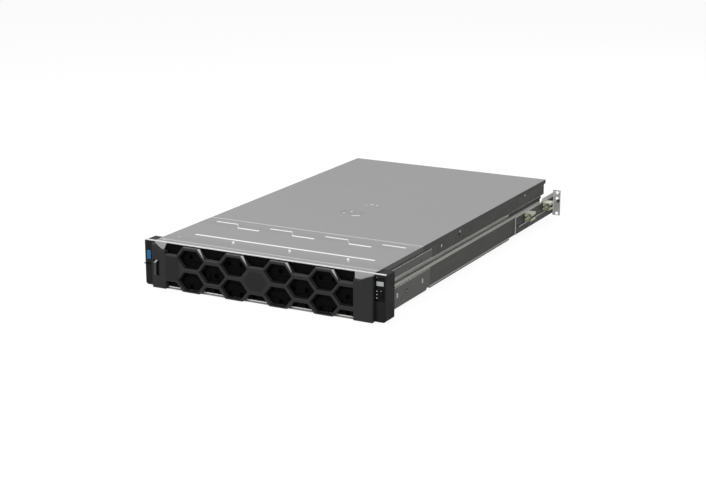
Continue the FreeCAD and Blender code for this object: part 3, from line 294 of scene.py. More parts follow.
grainEffect = {"detail": 3.0, "span": (0.3, 0.7)}
smudgeEffect = {"detail": 5.0, "distortion": 0.6, "roughSpan": (0.35, 0.68), "maskSpan": (0.4, 0.65)}
wearAndHighlightEffect = {"samples": 4, "bend": (0.99, 0.86), "detail": 4.0, "patchSpan": (0.36, 0.6), "patchLow": 0.35}
lineEffect = {"detail": 4.0, "span": (0.3, 0.7), "tones": (0.9, 1.1)}
spangleTones = (0.88, 1.12)


def makeFineGrain():
    inputs = {"Vector": None, "Scale": 900.0, "Tint": 0.06}
    group, given, result = makeGroup("fineGrain", inputs, ("Value", "Height"))
    noise = addNoise(group, given["Vector"], given["Scale"], grainEffect["detail"])
    low = addMath(group, "SUBTRACT", 1.0, given["Tint"])
    high = addMath(group, "ADD", 1.0, given["Tint"])
    feed(group, result["Value"], addRange(group, noise, *grainEffect["span"], low, high))
    feed(group, result["Height"], noise)
    return group


def makeSmudges():
    inputs = {"Vector": None, "Scale": 14.0, "Low": 0.35, "High": 0.5}
    group, given, result = makeGroup("handledSmudges", inputs, ("Roughness", "Mask"))
    noise = addNoise(group, given["Vector"], given["Scale"], smudgeEffect["detail"],
                     smudgeEffect["distortion"])
    roughness = addRange(group, noise, *smudgeEffect["roughSpan"], given["Low"], given["High"])
    feed(group, result["Roughness"], roughness)
    feed(group, result["Mask"], addRange(group, noise, *smudgeEffect["maskSpan"]))
    return group


# edges are lightened, partly as wear and partly as a painted highlight where they would catch the light
def makeEdgeWearAndHighlight():
    inputs = {"Vector": None, "Radius": 0.0006, "Breakup": 220.0}
    group, given, result = makeGroup("edgeWearAndHighlight", inputs, ("Mask",))
    rounded = addNode(group, "ShaderNodeBevel", samples=wearAndHighlightEffect["samples"])
    feed(group, rounded.inputs["Radius"], given["Radius"])
    surface = addNode(group, "ShaderNodeNewGeometry")
    turn = addDot(group, rounded.outputs["Normal"], surface.outputs["Normal"])
    bend = addRange(group, turn, *wearAndHighlightEffect["bend"])
    noise = addNoise(group, given["Vector"], given["Breakup"], wearAndHighlightEffect["detail"])
    patch = addRange(group, noise, *wearAndHighlightEffect["patchSpan"], wearAndHighlightEffect["patchLow"])
    feed(group, result["Mask"], addMath(group, "MULTIPLY", bend, patch))
    return group


def makeRolledLines():
    inputs = {"Vector": None, "Across": (8.0, 900.0, 900.0)}
    group, given, result = makeGroup("rolledLines", inputs, ("Value", "Height"))
    stretch = addNode(group, "ShaderNodeVectorMath", operation="MULTIPLY")
    feed(group, stretch.inputs[0], given["Vector"])
    feed(group, stretch.inputs[1], given["Across"])
    noise = addNoise(group, stretch.outputs["Vector"], 1.0, lineEffect["detail"])
    feed(group, result["Value"], addRange(group, noise, *lineEffect["span"], *lineEffect["tones"]))
    feed(group, result["Height"], noise)
    return group


def makeSpangle():
    group, given, result = makeGroup("zincSpangle", {"Vector": None, "Scale": 120.0}, ("Value",))
    cells = addNode(group, "ShaderNodeTexVoronoi", feature="F1")
    for label, value in (("Vector", given["Vector"]), ("Scale", given["Scale"]), ("Randomness", 1.0)):
        feed(group, cells.inputs[label], value)
    split = addNode(group, "ShaderNodeSeparateColor")
    feed(group, split.inputs["Color"], cells.outputs["Color"])
    feed(group, result["Value"], addRange(group, split.outputs[0], 0.0, 1.0, *spangleTones))
    return group


fineGrain = makeFineGrain()
handledSmudges = makeSmudges()
edgeWearAndHighlight = makeEdgeWearAndHighlight()
rolledLines = makeRolledLines()
zincSpangle = makeSpangle()


def placeGroup(tree, group, where, **values):
    node = addNode(tree, "ShaderNodeGroup", node_tree=group)
    feed(tree, node.inputs["Vector"], where)
    for label, value in values.items():
        node.inputs[label].default_value = value
    return node.outputs


def bandMask(tree, value, low, high, soft):
    rise = addRange(tree, value, (low - soft) * mm, (low + soft) * mm)
    fall = addRange(tree, value, (high - soft) * mm, (high + soft) * mm, 1.0, 0.0)
    return addMath(tree, "MULTIPLY", rise, fall)


# one builder makes the moulded, painted and plated finishes, each from its own dictionary

builder = {"facetSoft": 0.1, "coatRoughness": 0.1, "bumpDepth": 0.05}


def facet(colour, *within, towards=None, turned=0.8):
    # part of a surface: the faces that look one way, within bands across one direction or another
    return {"colour": colour, "within": within, "towards": towards, "turned": turned}


def bothSides(*facets):
    rows = []
    for row in facets:
        bands = [((-x, y, z), low, high, soft) for (x, y, z), low, high, soft in row["within"]]
        x, y, z = row["towards"]
        rows += [row, {**row, "within": bands, "towards": (-x, y, z)}]
    return rows


def facetMask(tree, coordinates, row):
    mask = 1.0
    if row["towards"]:
        facing = addDot(tree, coordinates.outputs["Normal"], row["towards"])
        mask = addRange(tree, facing, *about(row["turned"], builder["facetSoft"]))
    for way, low, high, soft in row["within"]:
        along = addDot(tree, coordinates.outputs["Object"], way)
        mask = addMath(tree, "MULTIPLY", mask, bandMask(tree, along, low, high, soft))
    return mask


def beadHighlightMask(tree, split, beadHighlight):
    # pressed beads get a painted highlight along their tops, weaker on their slanted runs and at their ticks
    above = addRange(tree, split["Z"], beadHighlight["level"] * mm, (beadHighlight["level"] + beadHighlight["rise"]) * mm)
    slanted = bandMask(tree, split["Y"], *beadHighlight["slant"])
    straight = addMath(tree, "SUBTRACT", 1.0, addMath(tree, "MULTIPLY", slanted, beadHighlight["fade"]))
    near, far = beadHighlight["ticks"]
    ticks = addRange(tree, split["Y"], near * mm, far * mm, beadHighlight["leastTick"])
    return addMath(tree, "MULTIPLY", addMath(tree, "MULTIPLY", above, straight), ticks)


def makeFinish(name, finish):
    material = bpy.data.materials.new(name)
    material.use_nodes = True
    tree = material.node_tree
    shader = tree.nodes["Principled BSDF"].inputs
    shader["Metallic"].default_value = finish.get("metallic", 0.0)
    shader["Specular IOR Level"].default_value = finish.get("specular", 0.5)
    if "coat" in finish:
        shader["Coat Weight"].default_value = finish["coat"]
        shader["Coat Roughness"].default_value = builder["coatRoughness"]
    if "glow" in finish:
        shader["Emission Color"].default_value = (*finish["glow"], 1.0)
        shader["Emission Strength"].default_value = finish["glowStrength"]
    coordinates = addNode(tree, "ShaderNodeTexCoord")
    place = coordinates.outputs["Object"]
    splitter = addNode(tree, "ShaderNodeSeparateXYZ")
    feed(tree, splitter.inputs[0], place)
    split = splitter.outputs
    grainScale, grainTint = finish["grain"]
    grain = placeGroup(tree, fineGrain, place, Scale=grainScale, Tint=grainTint)
    tone, height = grain["Value"], grain["Height"]
    if "lines" in finish:
        lines = placeGroup(tree, rolledLines, place, Across=finish["lines"])
        tone = addMath(tree, "MULTIPLY", tone, lines["Value"])
        height = addMath(tree, "ADD", height, lines["Height"])
    if "spangle" in finish:
        cells = placeGroup(tree, zincSpangle, place, Scale=finish["spangle"])
        tone = addMath(tree, "MULTIPLY", tone, cells["Value"])
    smoothest, roughest = finish["roughness"]
    smudges = placeGroup(tree, handledSmudges, place, Scale=finish["smudges"], Low=smoothest, High=roughest)
    feed(tree, shader["Roughness"], smudges["Roughness"])
    colour = mixColour(tree, smudges["Mask"], *finish["tones"])
    for axis, low, high, soft, tint in finish.get("zones", ()):  # stretches painted another colour: some are painted highlights and painted shade, others a tone of their own
        colour = mixColour(tree, bandMask(tree, split[axis], low, high, soft), colour, tint)
    toned = addNode(tree, "ShaderNodeVectorMath", operation="SCALE")
    feed(tree, toned.inputs[0], colour)
    feed(tree, toned.inputs["Scale"], tone)
    colour = toned.outputs["Vector"]
    for row in finish.get("facets", ()):  # faces that look one way, or stretches of a surface, painted another colour: mostly painted highlights and painted shade, some darker parts of the moulding
        colour = mixColour(tree, facetMask(tree, coordinates, row), colour, row["colour"])
    # the bead tops are painted bright: a painted highlight
    if "beadHighlight" in finish:
        colour = mixColour(tree, beadHighlightMask(tree, split, finish["beadHighlight"]), colour, finish["beadHighlight"]["colour"])
    # lighter edges: partly wear, partly a painted highlight
    if "wornAndLitEdges" in finish:
        tint, radius, strength = finish["wornAndLitEdges"]
        wornAndLit = placeGroup(tree, edgeWearAndHighlight, place, Radius=radius * mm)
        colour = mixColour(tree, addMath(tree, "MULTIPLY", wornAndLit["Mask"], strength), colour, tint)
    feed(tree, shader["Base Color"], colour)
    bump = addNode(tree, "ShaderNodeBump")
    bump.inputs["Strength"].default_value = finish["bump"]
    bump.inputs["Distance"].default_value = builder["bumpDepth"] * mm
    feed(tree, bump.inputs["Height"], height)
    feed(tree, shader["Normal"], bump.outputs["Normal"])
    return material


# finishes: tones are the cleaner and the handled colour, and the lighter edges, partly wear and partly a
# painted highlight, are given by their colour, reach and strength

def grey(value):
    return (value, value, value)


sill = {"cells": (-139.6, -50.6, 38.4, 127.4), "wide": 38.0, "levels": (-1.0, 8.0), "colour": grey(0.012)}
sillCellShade = []  # the sill is painted black as painted shade where the lower cells of the comb stand before it
for cell in sill["cells"]:
    cellBand = (alongX, *about(cell, sill["wide"]), 1.0)
    sillCellShade.append(facet(sill["colour"], cellBand, (alongZ, *sill["levels"], 0.2)))
combFace = (alongY, -42.0, -41.2, 0.1)
railTop = (alongZ, 44.0, 50.0, 0.3)
paintedSheet = {"tones": (grey(0.292), grey(0.304)), "grain": (1500.0, 0.04), "bump": 0.05}
rolledSheet = {"metallic": 0.1, "grain": (1200.0, 0.05), "bump": 0.05}
bracketSheet = {**rolledSheet, "roughness": (0.42, 0.54), "smudges": 9.0,
                "wornAndLitEdges": ((0.62, 0.62, 0.60), 0.7, 0.9)}
railSheet = {**rolledSheet, "grain": (1300.0, 0.05), "smudges": 6.0, "lines": (700.0, 6.0, 700.0)}
darkMoulding = {"grain": (2600.0, 0.12), "smudges": 16.0, "bump": 0.2}
brightMoulding = {"grain": (2200.0, 0.08), "smudges": 40.0, "bump": 0.12}
finishes = {
    "coverSatin": {**paintedSheet, "specular": 0.12, "roughness": (0.5, 0.58), "smudges": 5.0,
                   "wornAndLitEdges": (grey(0.42), 0.5, 0.5),
                   # the lighter band along the seam between the covers is a painted highlight
                   "zones": (("Y", 150.6, 154.4, 0.3, grey(0.56)),),
                   # the side-facing flanges are painted darker, more so behind the seam, as painted shade
                   "facets": bothSides(
                       facet((0.115, 0.115, 0.113), (alongY, -40.0, 152.3, 0.2), towards=alongX),
                       facet((0.062, 0.062, 0.060), (alongY, 152.3, 800.0, 0.2), towards=alongX)),
                   # the bead tops are painted bright as a painted highlight
                   "beadHighlight": {"level": 86.08, "rise": 0.2, "slant": (109.0, 127.0, 0.6), "fade": 0.75,
                             "ticks": (3.0, 23.0), "leastTick": 0.12, "colour": grey(0.92)}},
    "lipSatin": {**paintedSheet, "specular": 0.15, "roughness": (0.45, 0.55), "smudges": 8.0,
                 "wornAndLitEdges": (grey(0.80), 0.5, 0.5),
                 # the band at the front is painted near white, partly the strip's bright zinc and partly a
                 # painted highlight, and the lighter line before the front cover is a painted highlight
                 "zones": (("Y", -40.0, -30.6, 0.25, grey(0.88)), ("Y", -18.6, -14.0, 0.3, grey(0.54)),
                           ("Z", 8.0, 84.9, 0.2, grey(0.40)), ("Z", -1.0, 2.5, 0.15, (0.27, 0.27, 0.24)),
                           ("Z", 2.5, 3.2, 0.1, grey(0.03))),
                 "facets": sillCellShade},
    # its dark tones are painted shade: the same galvanised steel as innerZinc, kept darker for the shaded
    # outer walls
    "chassisZinc": {**rolledSheet, "tones": ((0.060, 0.060, 0.057), (0.069, 0.069, 0.065)), "specular": 0.1,
                    "roughness": (0.45, 0.56), "smudges": 7.0, "spangle": 160.0,
                    "wornAndLitEdges": ((0.36, 0.36, 0.35), 0.6, 0.8)},
    "innerZinc": {"tones": ((0.27, 0.27, 0.262), (0.31, 0.31, 0.300)), "metallic": 0.3, "specular": 0.3,
                  "roughness": (0.4, 0.52), "grain": (1200.0, 0.05), "smudges": 8.0, "spangle": 150.0,
                  "bump": 0.06, "wornAndLitEdges": ((0.52, 0.52, 0.51), 0.5, 0.7)},
    # the lighter line along the ear brackets' lower edge and the bright up-facing faces are painted
    # highlights
    "bracketZinc": {**bracketSheet, "tones": ((0.106, 0.106, 0.101), (0.119, 0.119, 0.113)), "specular": 0.12,
                    "zones": (("Z", 56.5, 58.4, 0.2, (0.46, 0.46, 0.45)),),
                    "facets": (facet((0.80, 0.80, 0.78), towards=alongZ),)},
    # painted light and shade on one zinc: the web is kept dark as painted shade, the arm and the plate are
    # painted light, and the front end edge is a painted highlight
    "armZinc": {**bracketSheet, "tones": ((0.052, 0.052, 0.048), (0.062, 0.062, 0.057)), "specular": 0.1,
                "zones": (("Z", 43.0, 57.5, 0.2, (0.60, 0.60, 0.58)),),
                "facets": (facet((0.74, 0.74, 0.71), (alongY, 773.0, 790.0, 0.5)),
                           facet((0.62, 0.62, 0.60), (alongY, 560.0, 570.2, 0.2), (alongZ, 8.6, 45.0, 0.3)))},
    "brightZinc": {"tones": (grey(0.52), grey(0.60)), "metallic": 0.4, "specular": 0.4,
                   "roughness": (0.3, 0.42), "grain": (1600.0, 0.05), "smudges": 12.0, "bump": 0.08,
                   "wornAndLitEdges": ((0.85, 0.85, 0.86), 0.4, 0.7)},
    "mouldedBlack": {**darkMoulding, "tones": ((0.0180, 0.0183, 0.0190), (0.0210, 0.0213, 0.0220)),
                     "specular": 0.05, "roughness": (0.46, 0.58), "wornAndLitEdges": ((0.05, 0.05, 0.052), 0.7, 0.7),
                     # the ears' outer side faces are painted darker as painted shade
                     "facets": bothSides(facet((0.0120, 0.0122, 0.0126), (alongX, 240.0, 250.0, 0.3),
                                               towards=alongX, turned=0.9))},
    "combBlack": {**darkMoulding, "tones": ((0.0210, 0.0213, 0.0219), (0.0240, 0.0243, 0.0249)),
                  "specular": 0.15, "roughness": (0.42, 0.54), "wornAndLitEdges": ((0.060, 0.060, 0.062), 0.8, 0.6),
                  "zones": (("X", -192.0, 184.0, 1.0, (0.0240, 0.0242, 0.0247)),),
                  "facets": (
                      # a lighter rim just behind the front face is a painted highlight on the bars' edges
                      facet((0.056, 0.056, 0.057), (alongX, -192.0, 184.0, 1.0), (alongY, -41.2, -40.3, 0.1)),
                      facet((0.0135, 0.0136, 0.0139), (alongX, -40.0, 28.0, 0.5), combFace,
                            ((0.803, 0, 0.596), 0.1, 38.9, 0.4), ((0.803, 0, -0.596), -48.7, -9.9, 0.4),
                            (alongZ, 24.1, 57.6, 0.4)),
                      facet((0.0130, 0.0131, 0.0134), (alongX, -192.0, -163.0, 1.5), combFace,
                            (alongZ, 20.0, 62.0, 1.5)),
                      # up-facing faces low in the comb, the floors of the cells, are painted dark as painted
                      # shade under the bars above
                      facet(grey(0.010), (alongZ, 3.0, 62.0, 0.5), towards=alongZ, turned=0.85),
                      # up-facing faces of the upper half-cells and on the bezel's top are painted lighter as
                      # painted light
                      facet((0.052, 0.052, 0.053), (alongZ, 63.5, 70.0, 0.5), towards=alongZ, turned=0.85),
                      facet((0.085, 0.085, 0.086), (alongZ, 80.0, 90.0, 0.5), towards=alongZ, turned=0.85),
                      # walls of the upper half-cells that face right and up are painted bright as a painted
                      # highlight
                      facet(grey(0.52), (alongX, -186.0, 184.0, 0.5), (alongZ, 64.0, 90.0, 0.5),
                            ((0, -1.0, 0.36), 65.2, 90.0, 0.4), towards=(0.86, 0.0, 0.5)))},
    "cageShade": {"tones": (grey(0.0023), grey(0.0031)), "specular": 0.03, "roughness": (0.5, 0.62),
                  "grain": (2400.0, 0.12), "smudges": 20.0, "bump": 0.2, "wornAndLitEdges": (grey(0.009), 0.6, 0.7)},
    "leverGrey": {"tones": ((0.030, 0.030, 0.031), (0.040, 0.040, 0.041)), "specular": 0.4,
                  "roughness": (0.35, 0.48), "grain": (2400.0, 0.08), "smudges": 20.0, "bump": 0.15,
                  "wornAndLitEdges": (grey(0.45), 0.6, 0.9), "zones": (("Z", 47.0, 60.0, 0.5, grey(0.36)),)},
    "tagBlack": {"tones": ((0.0030, 0.0030, 0.0032), (0.0040, 0.0040, 0.0042)), "specular": 0.04,
                 "roughness": (0.45, 0.55), "grain": (2400.0, 0.1), "smudges": 30.0, "bump": 0.1,
                 "wornAndLitEdges": (grey(0.012), 0.3, 0.6)},
    "panelGloss": {"tones": ((0.0045, 0.0045, 0.0047), (0.0060, 0.0060, 0.0063)), "specular": 0.07,
                   "roughness": (0.2, 0.32), "grain": (2000.0, 0.05), "smudges": 40.0, "bump": 0.03,
                   "wornAndLitEdges": (grey(0.04), 0.3, 0.7)},
    "displayGrey": {"tones": ((0.45, 0.46, 0.47), (0.50, 0.51, 0.52)), "specular": 0.3, "coat": 0.2,
                    "roughness": (0.2, 0.3), "grain": (1800.0, 0.04), "smudges": 60.0, "bump": 0.02,
                    "wornAndLitEdges": (grey(0.85), 0.6, 0.7)},
    "releaseBlue": {**brightMoulding, "tones": ((0.020, 0.139, 0.305), (0.027, 0.165, 0.35)), "specular": 0.3,
                    "roughness": (0.36, 0.48), "wornAndLitEdges": ((0.07, 0.24, 0.43), 0.5, 0.7)},
    "latchOrange": {**brightMoulding, "tones": ((0.50, 0.12, 0.02), (0.56, 0.15, 0.03)), "specular": 0.4,
                    "roughness": (0.34, 0.46), "wornAndLitEdges": ((0.7, 0.3, 0.12), 0.5, 0.7)},
    "castAlloy": {"tones": ((0.42, 0.42, 0.43), (0.50, 0.50, 0.51)), "metallic": 0.6,
                  "roughness": (0.32, 0.46), "grain": (900.0, 0.1), "smudges": 14.0, "bump": 0.2,
                  "wornAndLitEdges": (grey(0.7), 0.5, 0.7)},
    "supplySheet": {"tones": ((0.34, 0.34, 0.345), (0.40, 0.40, 0.405)), "metallic": 0.5,
                    "roughness": (0.34, 0.46), "grain": (1400.0, 0.06), "smudges": 10.0,
                    "lines": (600.0, 8.0, 600.0), "bump": 0.06, "wornAndLitEdges": (grey(0.6), 0.5, 0.7)},
    "boardGreen": {"tones": ((0.012, 0.062, 0.030), (0.018, 0.082, 0.040)), "roughness": (0.25, 0.38),
                   "grain": (1500.0, 0.2), "smudges": 160.0, "bump": 0.08, "coat": 0.3,
                   "wornAndLitEdges": ((0.16, 0.22, 0.12), 0.3, 0.7)},
    "portTin": {"tones": (grey(0.50), (0.58, 0.58, 0.57)), "metallic": 0.8, "roughness": (0.28, 0.38),
                "grain": (1800.0, 0.05), "smudges": 60.0, "lines": (700.0, 10.0, 700.0), "bump": 0.06,
                "wornAndLitEdges": (grey(0.75), 0.3, 0.7)},
    # its dark tones are painted shade for the rails' sides; the facets paint the up-facing top and shoulders
    # light as painted light, dimmer in the groove beside the wall
    "railZinc": {**railSheet, "tones": ((0.060, 0.060, 0.055), (0.069, 0.069, 0.063)), "specular": 0.10,
                 "roughness": (0.42, 0.54), "wornAndLitEdges": ((0.62, 0.62, 0.58), 0.7, 0.9),
                 "facets": (facet((0.38, 0.38, 0.36), railTop, towards=alongZ, turned=0.9),
                            *bothSides(facet((0.15, 0.15, 0.12), railTop, (alongX, 217.2, 219.0, 0.2),
                                             towards=alongZ, turned=0.9),
                                       facet((0.36, 0.36, 0.34), towards=(0.71, 0, 0.71), turned=0.92)))},
    "stripZinc": {**railSheet, "tones": ((0.48, 0.48, 0.46), (0.54, 0.54, 0.52)), "specular": 0.2,
                  "roughness": (0.4, 0.52), "wornAndLitEdges": ((0.66, 0.66, 0.63), 0.5, 0.7),
                  "zones": (("Z", 49.0, 50.6, 0.2, (0.30, 0.30, 0.24)),),
                  "facets": (facet((0.062, 0.062, 0.058), (alongY, 553.0, 740.0, 0.5),
                                   (alongZ, 40.0, 52.5, 0.2)),)},
    "rivetZinc": {"tones": ((0.105, 0.105, 0.100), (0.125, 0.125, 0.119)), "metallic": 0.2, "specular": 0.15,
                  "roughness": (0.4, 0.5), "grain": (1500.0, 0.06), "smudges": 30.0, "bump": 0.08,
                  "wornAndLitEdges": ((0.24, 0.24, 0.23), 0.4, 0.7)},
    "glideWhite": {"tones": ((0.70, 0.70, 0.67), (0.76, 0.76, 0.73)), "specular": 0.4,
                   "roughness": (0.4, 0.5), "grain": (1800.0, 0.04), "smudges": 30.0, "bump": 0.1},
    "markWhite": {"tones": (grey(0.72), grey(0.78)), "specular": 0.2, "roughness": (0.5, 0.6),
                  "grain": (2600.0, 0.06), "smudges": 90.0, "bump": 0.1},
    "yellowZinc": {"tones": ((0.44, 0.46, 0.28), (0.60, 0.61, 0.44)), "metallic": 0.3,
                   "roughness": (0.3, 0.42), "grain": (1300.0, 0.08), "smudges": 45.0, "bump": 0.08,
                   "wornAndLitEdges": ((0.80, 0.80, 0.66), 0.6, 0.7),
                   # the dark band between the lips is a painted shadow, and the upper lip's up-facing top is
                   # a painted highlight
                   "facets": (facet((0.075, 0.080, 0.042), (alongZ, 31.6, 36.3, 0.4)),
                              facet((0.84, 0.84, 0.74), (alongZ, 42.0, 44.0, 0.2), towards=alongZ))},
    "contactGold": {"tones": ((0.62, 0.43, 0.12), (0.70, 0.50, 0.16)), "metallic": 1.0,
                    "roughness": (0.25, 0.36), "grain": (2000.0, 0.05), "smudges": 90.0, "bump": 0.04,
                    "wornAndLitEdges": ((0.85, 0.7, 0.35), 0.2, 0.7)},
    "lampGreen": {"tones": ((0.06, 0.42, 0.10), (0.08, 0.50, 0.13)), "roughness": (0.18, 0.28),
                  "grain": (1500.0, 0.04), "smudges": 90.0, "bump": 0.02, "glow": (0.1, 0.8, 0.2),
                  "glowStrength": 0.25},
}
materials = {}
for finishName, finish in finishes.items():
    materials[finishName] = makeFinish(finishName, finish)
slotFinish = {
    "cover_steel": "coverSatin", "chassis_steel": "chassisZinc", "bright_steel": "brightZinc",
    "black_plastic": "mouldedBlack", "latch_grey": "leverGrey", "panel_black": "panelGloss",
    "display_grey": "displayGrey", "release_blue": "releaseBlue", "latch_orange": "latchOrange",
    "drive_metal": "castAlloy", "psu_metal": "supplySheet", "board_green": "boardGreen",
    "port_metal": "portTin", "rail_steel": "railZinc", "glide_white": "glideWhite",
    "zinc_yellow": "yellowZinc",
}
ownFinish = {
    "lipSatin": ("front_frame",), "combBlack": ("bezel",), "tagBlack": ("info_tag",),
    "markWhite": ("indicator_lenses",), "rivetZinc": ("fasteners",),
    "cageShade": ("drive_carriers", "drive_handles", "drive_cage"),
    "bracketZinc": ("ear_brackets", "front_bracket_right", "front_bracket_left"),
    "armZinc": ("rear_bracket_right", "rear_bracket_left"),
    "innerZinc": ("rear_panel", "fan_wall", "riser_cages", "power_bay"),
}
finishOf = {}
for row in frame["record"]["subparts"]:
    finishOf[row["node"]] = slotFinish[row["material_slot"]]
for finishName, members in ownFinish.items():
    for member in members:
        finishOf[member] = finishName
print("stage: finishes made,", len(materials))


def dressPiece(piece, body, finishName):
    evenShade(piece)
    piece.data.materials.clear()
    piece.data.materials.append(materials[finishName])
    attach(piece, body)


def dressSide(piece, side, body, finishName):  # modelled for the right, mirrored for the left
    if side == "left":
        mirrorMesh(piece)
    dressPiece(piece, body, finishName)


# every node's edges are broken as the real part's are, by the width its making leaves

edgeWidths = {
    "bezel": 1.05, "left_ear": 0.9, "right_ear": 0.9, "control_panel": 0.25, "display_window": 0.12,
    "indicator_lenses": 0.15, "power_button": 0.12, "identify_button": 0.12, "release_button": 0.6,
    "info_tag": 0.2, "bezel_latch": 0.35, "front_frame": 0.25, "front_cover": 0.25, "main_cover": 0.25,
    "chassis_pan": 0.3, "ear_brackets": 0.35, "fasteners": 0.3, "inner_rails": 0.2, "rear_panel": 0.2,
    "rear_ports": 0.2, "drive_carriers": 0.3, "drive_handles": 0.5, "hard_drives": 0.8, "drive_cage": 0.15,
    "backplane": 0.15, "fan_wall": 0.2, "fan_housings": 0.5, "system_board": 0.15, "memory_modules": 0.15,
    "heatsinks": 0.12, "air_duct": 0.5, "riser_cages": 0.2, "power_bay": 0.2, "standoffs": 0.2,
}
sidedWidths = {"outer_rail": 0.4, "front_bracket": 0.35, "rear_bracket": 0.35, "guide_clip": 0.4,
               "end_clip": 0.4, "middle_rail": 0.25, "glide_strips": 0.2}
numberedWidths = {"psu_case": (0.35, 2), "psu_handle": (0.9, 2), "psu_latch": (0.4, 2),
                  "fan_rotor": (0.25, 4)}  # the width and how many there are
for nodeName, edgeWidth in sidedWidths.items():
    edgeWidths[nodeName + "_right"] = edgeWidth
    edgeWidths[nodeName + "_left"] = edgeWidth
for nodeName, (edgeWidth, count) in numberedWidths.items():
    for number in range(1, count + 1):
        edgeWidths[f"{nodeName}_{number}"] = edgeWidth
edgeSegments = {"bezel": 3}
merging = {"reach": 0.002, "flat": math.radians(0.5), "shape": math.radians(60)}


def dressNode(name, width, cutters):
    piece = nodes[name].copy()
    piece.data = nodes[name].data.copy()
    piece.name = name + "_dressed"
    piece.parent = None
    for key in list(piece.keys()):
        del piece[key]
    bpy.context.scene.collection.objects.link(piece)
    startEdit(piece)
    bpy.ops.mesh.remove_doubles(threshold=merging["reach"] * mm)
    bpy.ops.mesh.tris_convert_to_quads(face_threshold=merging["flat"], shape_threshold=merging["shape"])
    leaveEdit()
    for cutter in cutters:
        cutAway(piece, cutter)
    breakEdges(piece, width, edgeSegments.get(name, 2), use_clamp_overlap=False, miter_outer="MITER_ARC")
    dressPiece(piece, bodyOf[name], finishOf[name])
    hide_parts(name)


# holes that the parts have beside those that the frame carries

wallSlots = {"along": 309.7, "level": 71.2, "wide": 5.0, "tall": 4.6, "inner": 214.0, "outer": 224.0}
plateHoles = {"across": (226.6, 237.4), "middle": 776.0, "level": 53.4, "radius": 0.9, "deep": 8.0,
              "sides": 12}
buttonWells = {"nodes": ("power_button", "identify_button"), "gap": 0.35, "deeper": 2.4, "sides": 32}


def wallCutters():
    cutters = []
    along = about(wallSlots["along"], wallSlots["wide"])
    levels = about(wallSlots["level"], wallSlots["tall"])
    for sign in (1, -1):
        across = (sign * wallSlots["inner"], sign * wallSlots["outer"])
        cutters.append(addBlock("wallCutter", across, along, levels))
    return cutters


def plateCutters(sign):
    cutters = []
    for across in plateHoles["across"]:
        middle = (sign * across, plateHoles["middle"], plateHoles["level"])
        cutters.append(addRound("plateCutter", middle, plateHoles["radius"], plateHoles["deep"], "Y",
                                plateHoles["sides"]))
    return cutters


def wellCutters():  # the wells leave room past the buttons' travel
    cutters = []
    for node in buttonWells["nodes"]:
        low, high = nodeBox(node)
        near, far = low[1], high[1] + buttonWells["deeper"]
        middle = ((low[0] + high[0]) / 2, (near + far) / 2, (low[2] + high[2]) / 2)
        radius = (high[0] - low[0]) / 2 + buttonWells["gap"]
        cutters.append(addRound("wellCutter", middle, radius, far - near, "Y", buttonWells["sides"]))
    return cutters


for nodeName, edgeWidth in edgeWidths.items():
    cutters = []
    if nodeName == "chassis_pan":
        cutters = wallCutters()
    elif nodeName == "right_ear":
        cutters = wellCutters()
    elif nodeName == "rear_bracket_right":
        cutters = plateCutters(1)
    elif nodeName == "rear_bracket_left":
        cutters = plateCutters(-1)
    dressNode(nodeName, edgeWidth, cutters)
print("stage: nodes dressed,", len(edgeWidths))


# cover: two dots on the thumb pad and a slanted bar before it as painted highlights of the pad's rim, printed
# dashes behind it, and two small studs

coverMarks = {"floor": 85.6, "top": 86.1, "thick": 0.06, "edge": 0.02,
              "dots": ((-17.3, 300.2, 2.2), (-8.0, 313.8, 2.4)),
              "bar": (13.7, 289.2), "barSize": (15.6, 5.0), "barTurn": 28.2,
              "dashes": (((-8.2, -6.4), (369.0, 375.0)), ((-1.5, 5.6), (376.4, 380.6)),
                         ((11.0, 15.4), (375.4, 379.4)))}
coverStud = {"foot": 86.0, "radius": 1.7, "tall": 0.5, "crown": (0.7, 0.7, 1), "edge": 0.15, "sides": 18}


def addPrintOrHighlight(across, along):
    # a flat mark, whether print or painted highlight, is as thin as paint, with its edge softened
    mark = addBlock("printOrHighlight", across, along, (coverMarks["top"], coverMarks["top"] + coverMarks["thick"]))
    breakEdges(mark, coverMarks["edge"], 1)
    return mark


def addCoverMarks():
    marks = []
    # the dots and the bar are painted highlights of the thumb pad's rim, the dashes are print
    for across, away, radius in coverMarks["dots"]:
        middle = (across, away, coverMarks["floor"] + coverMarks["thick"] / 2)
        dot = addRound("highlightDot", middle, radius, coverMarks["thick"], "Z")
        breakEdges(dot, coverMarks["edge"], 1)
        marks.append(dot)
    long, wide = coverMarks["barSize"]
    bar = addPrintOrHighlight(about(0, long), about(0, wide))
    across, away = coverMarks["bar"]
    bar.data.transform(Matrix.Rotation(math.radians(coverMarks["barTurn"]), 4, "Z"))
    bar.data.transform(Matrix.Translation((across * mm, away * mm, 0)))
    marks.append(bar)
    for across, along in coverMarks["dashes"]:
        marks.append(addPrintOrHighlight(across, along))
    dressPiece(joinAll(marks, "padPrintAndHighlights"), "main_cover", "markWhite")


def addStud(name, across, away, node):
    middle = (across, away, coverStud["foot"] + coverStud["tall"] / 2)
    stud = addRound(name, middle, coverStud["radius"], coverStud["tall"], "Z", coverStud["sides"])
    taperSide(stud, alongZ, coverStud["crown"])  # the head is rounded over
    breakEdges(stud, coverStud["edge"])
    dressPiece(stud, bodyOf[node], "markWhite")


addCoverMarks()
addStud("coverStud", -193.8, 7.2, "front_cover")
addStud("lipStud", -207.6, -19.6, "front_frame")
print("stage: cover marks printed")


# side walls: pan-head screws under the cover's flange and a pressed tab

wallScrew = {"along": (309.7, 626.5), "level": 76.3, "face": 218.4, "radius": 2.2, "head": 1.5, "sides": 20,
             "cross": 0.7, "crossLong": 3.0, "crossDeep": 0.8, "crossPast": 1.0, "edge": 0.35}
wallTab = {"along": 230.9, "level": 68.5, "face": 218.7, "wide": 3.6, "tall": 5.0, "proud": 1.0, "edge": 0.35}


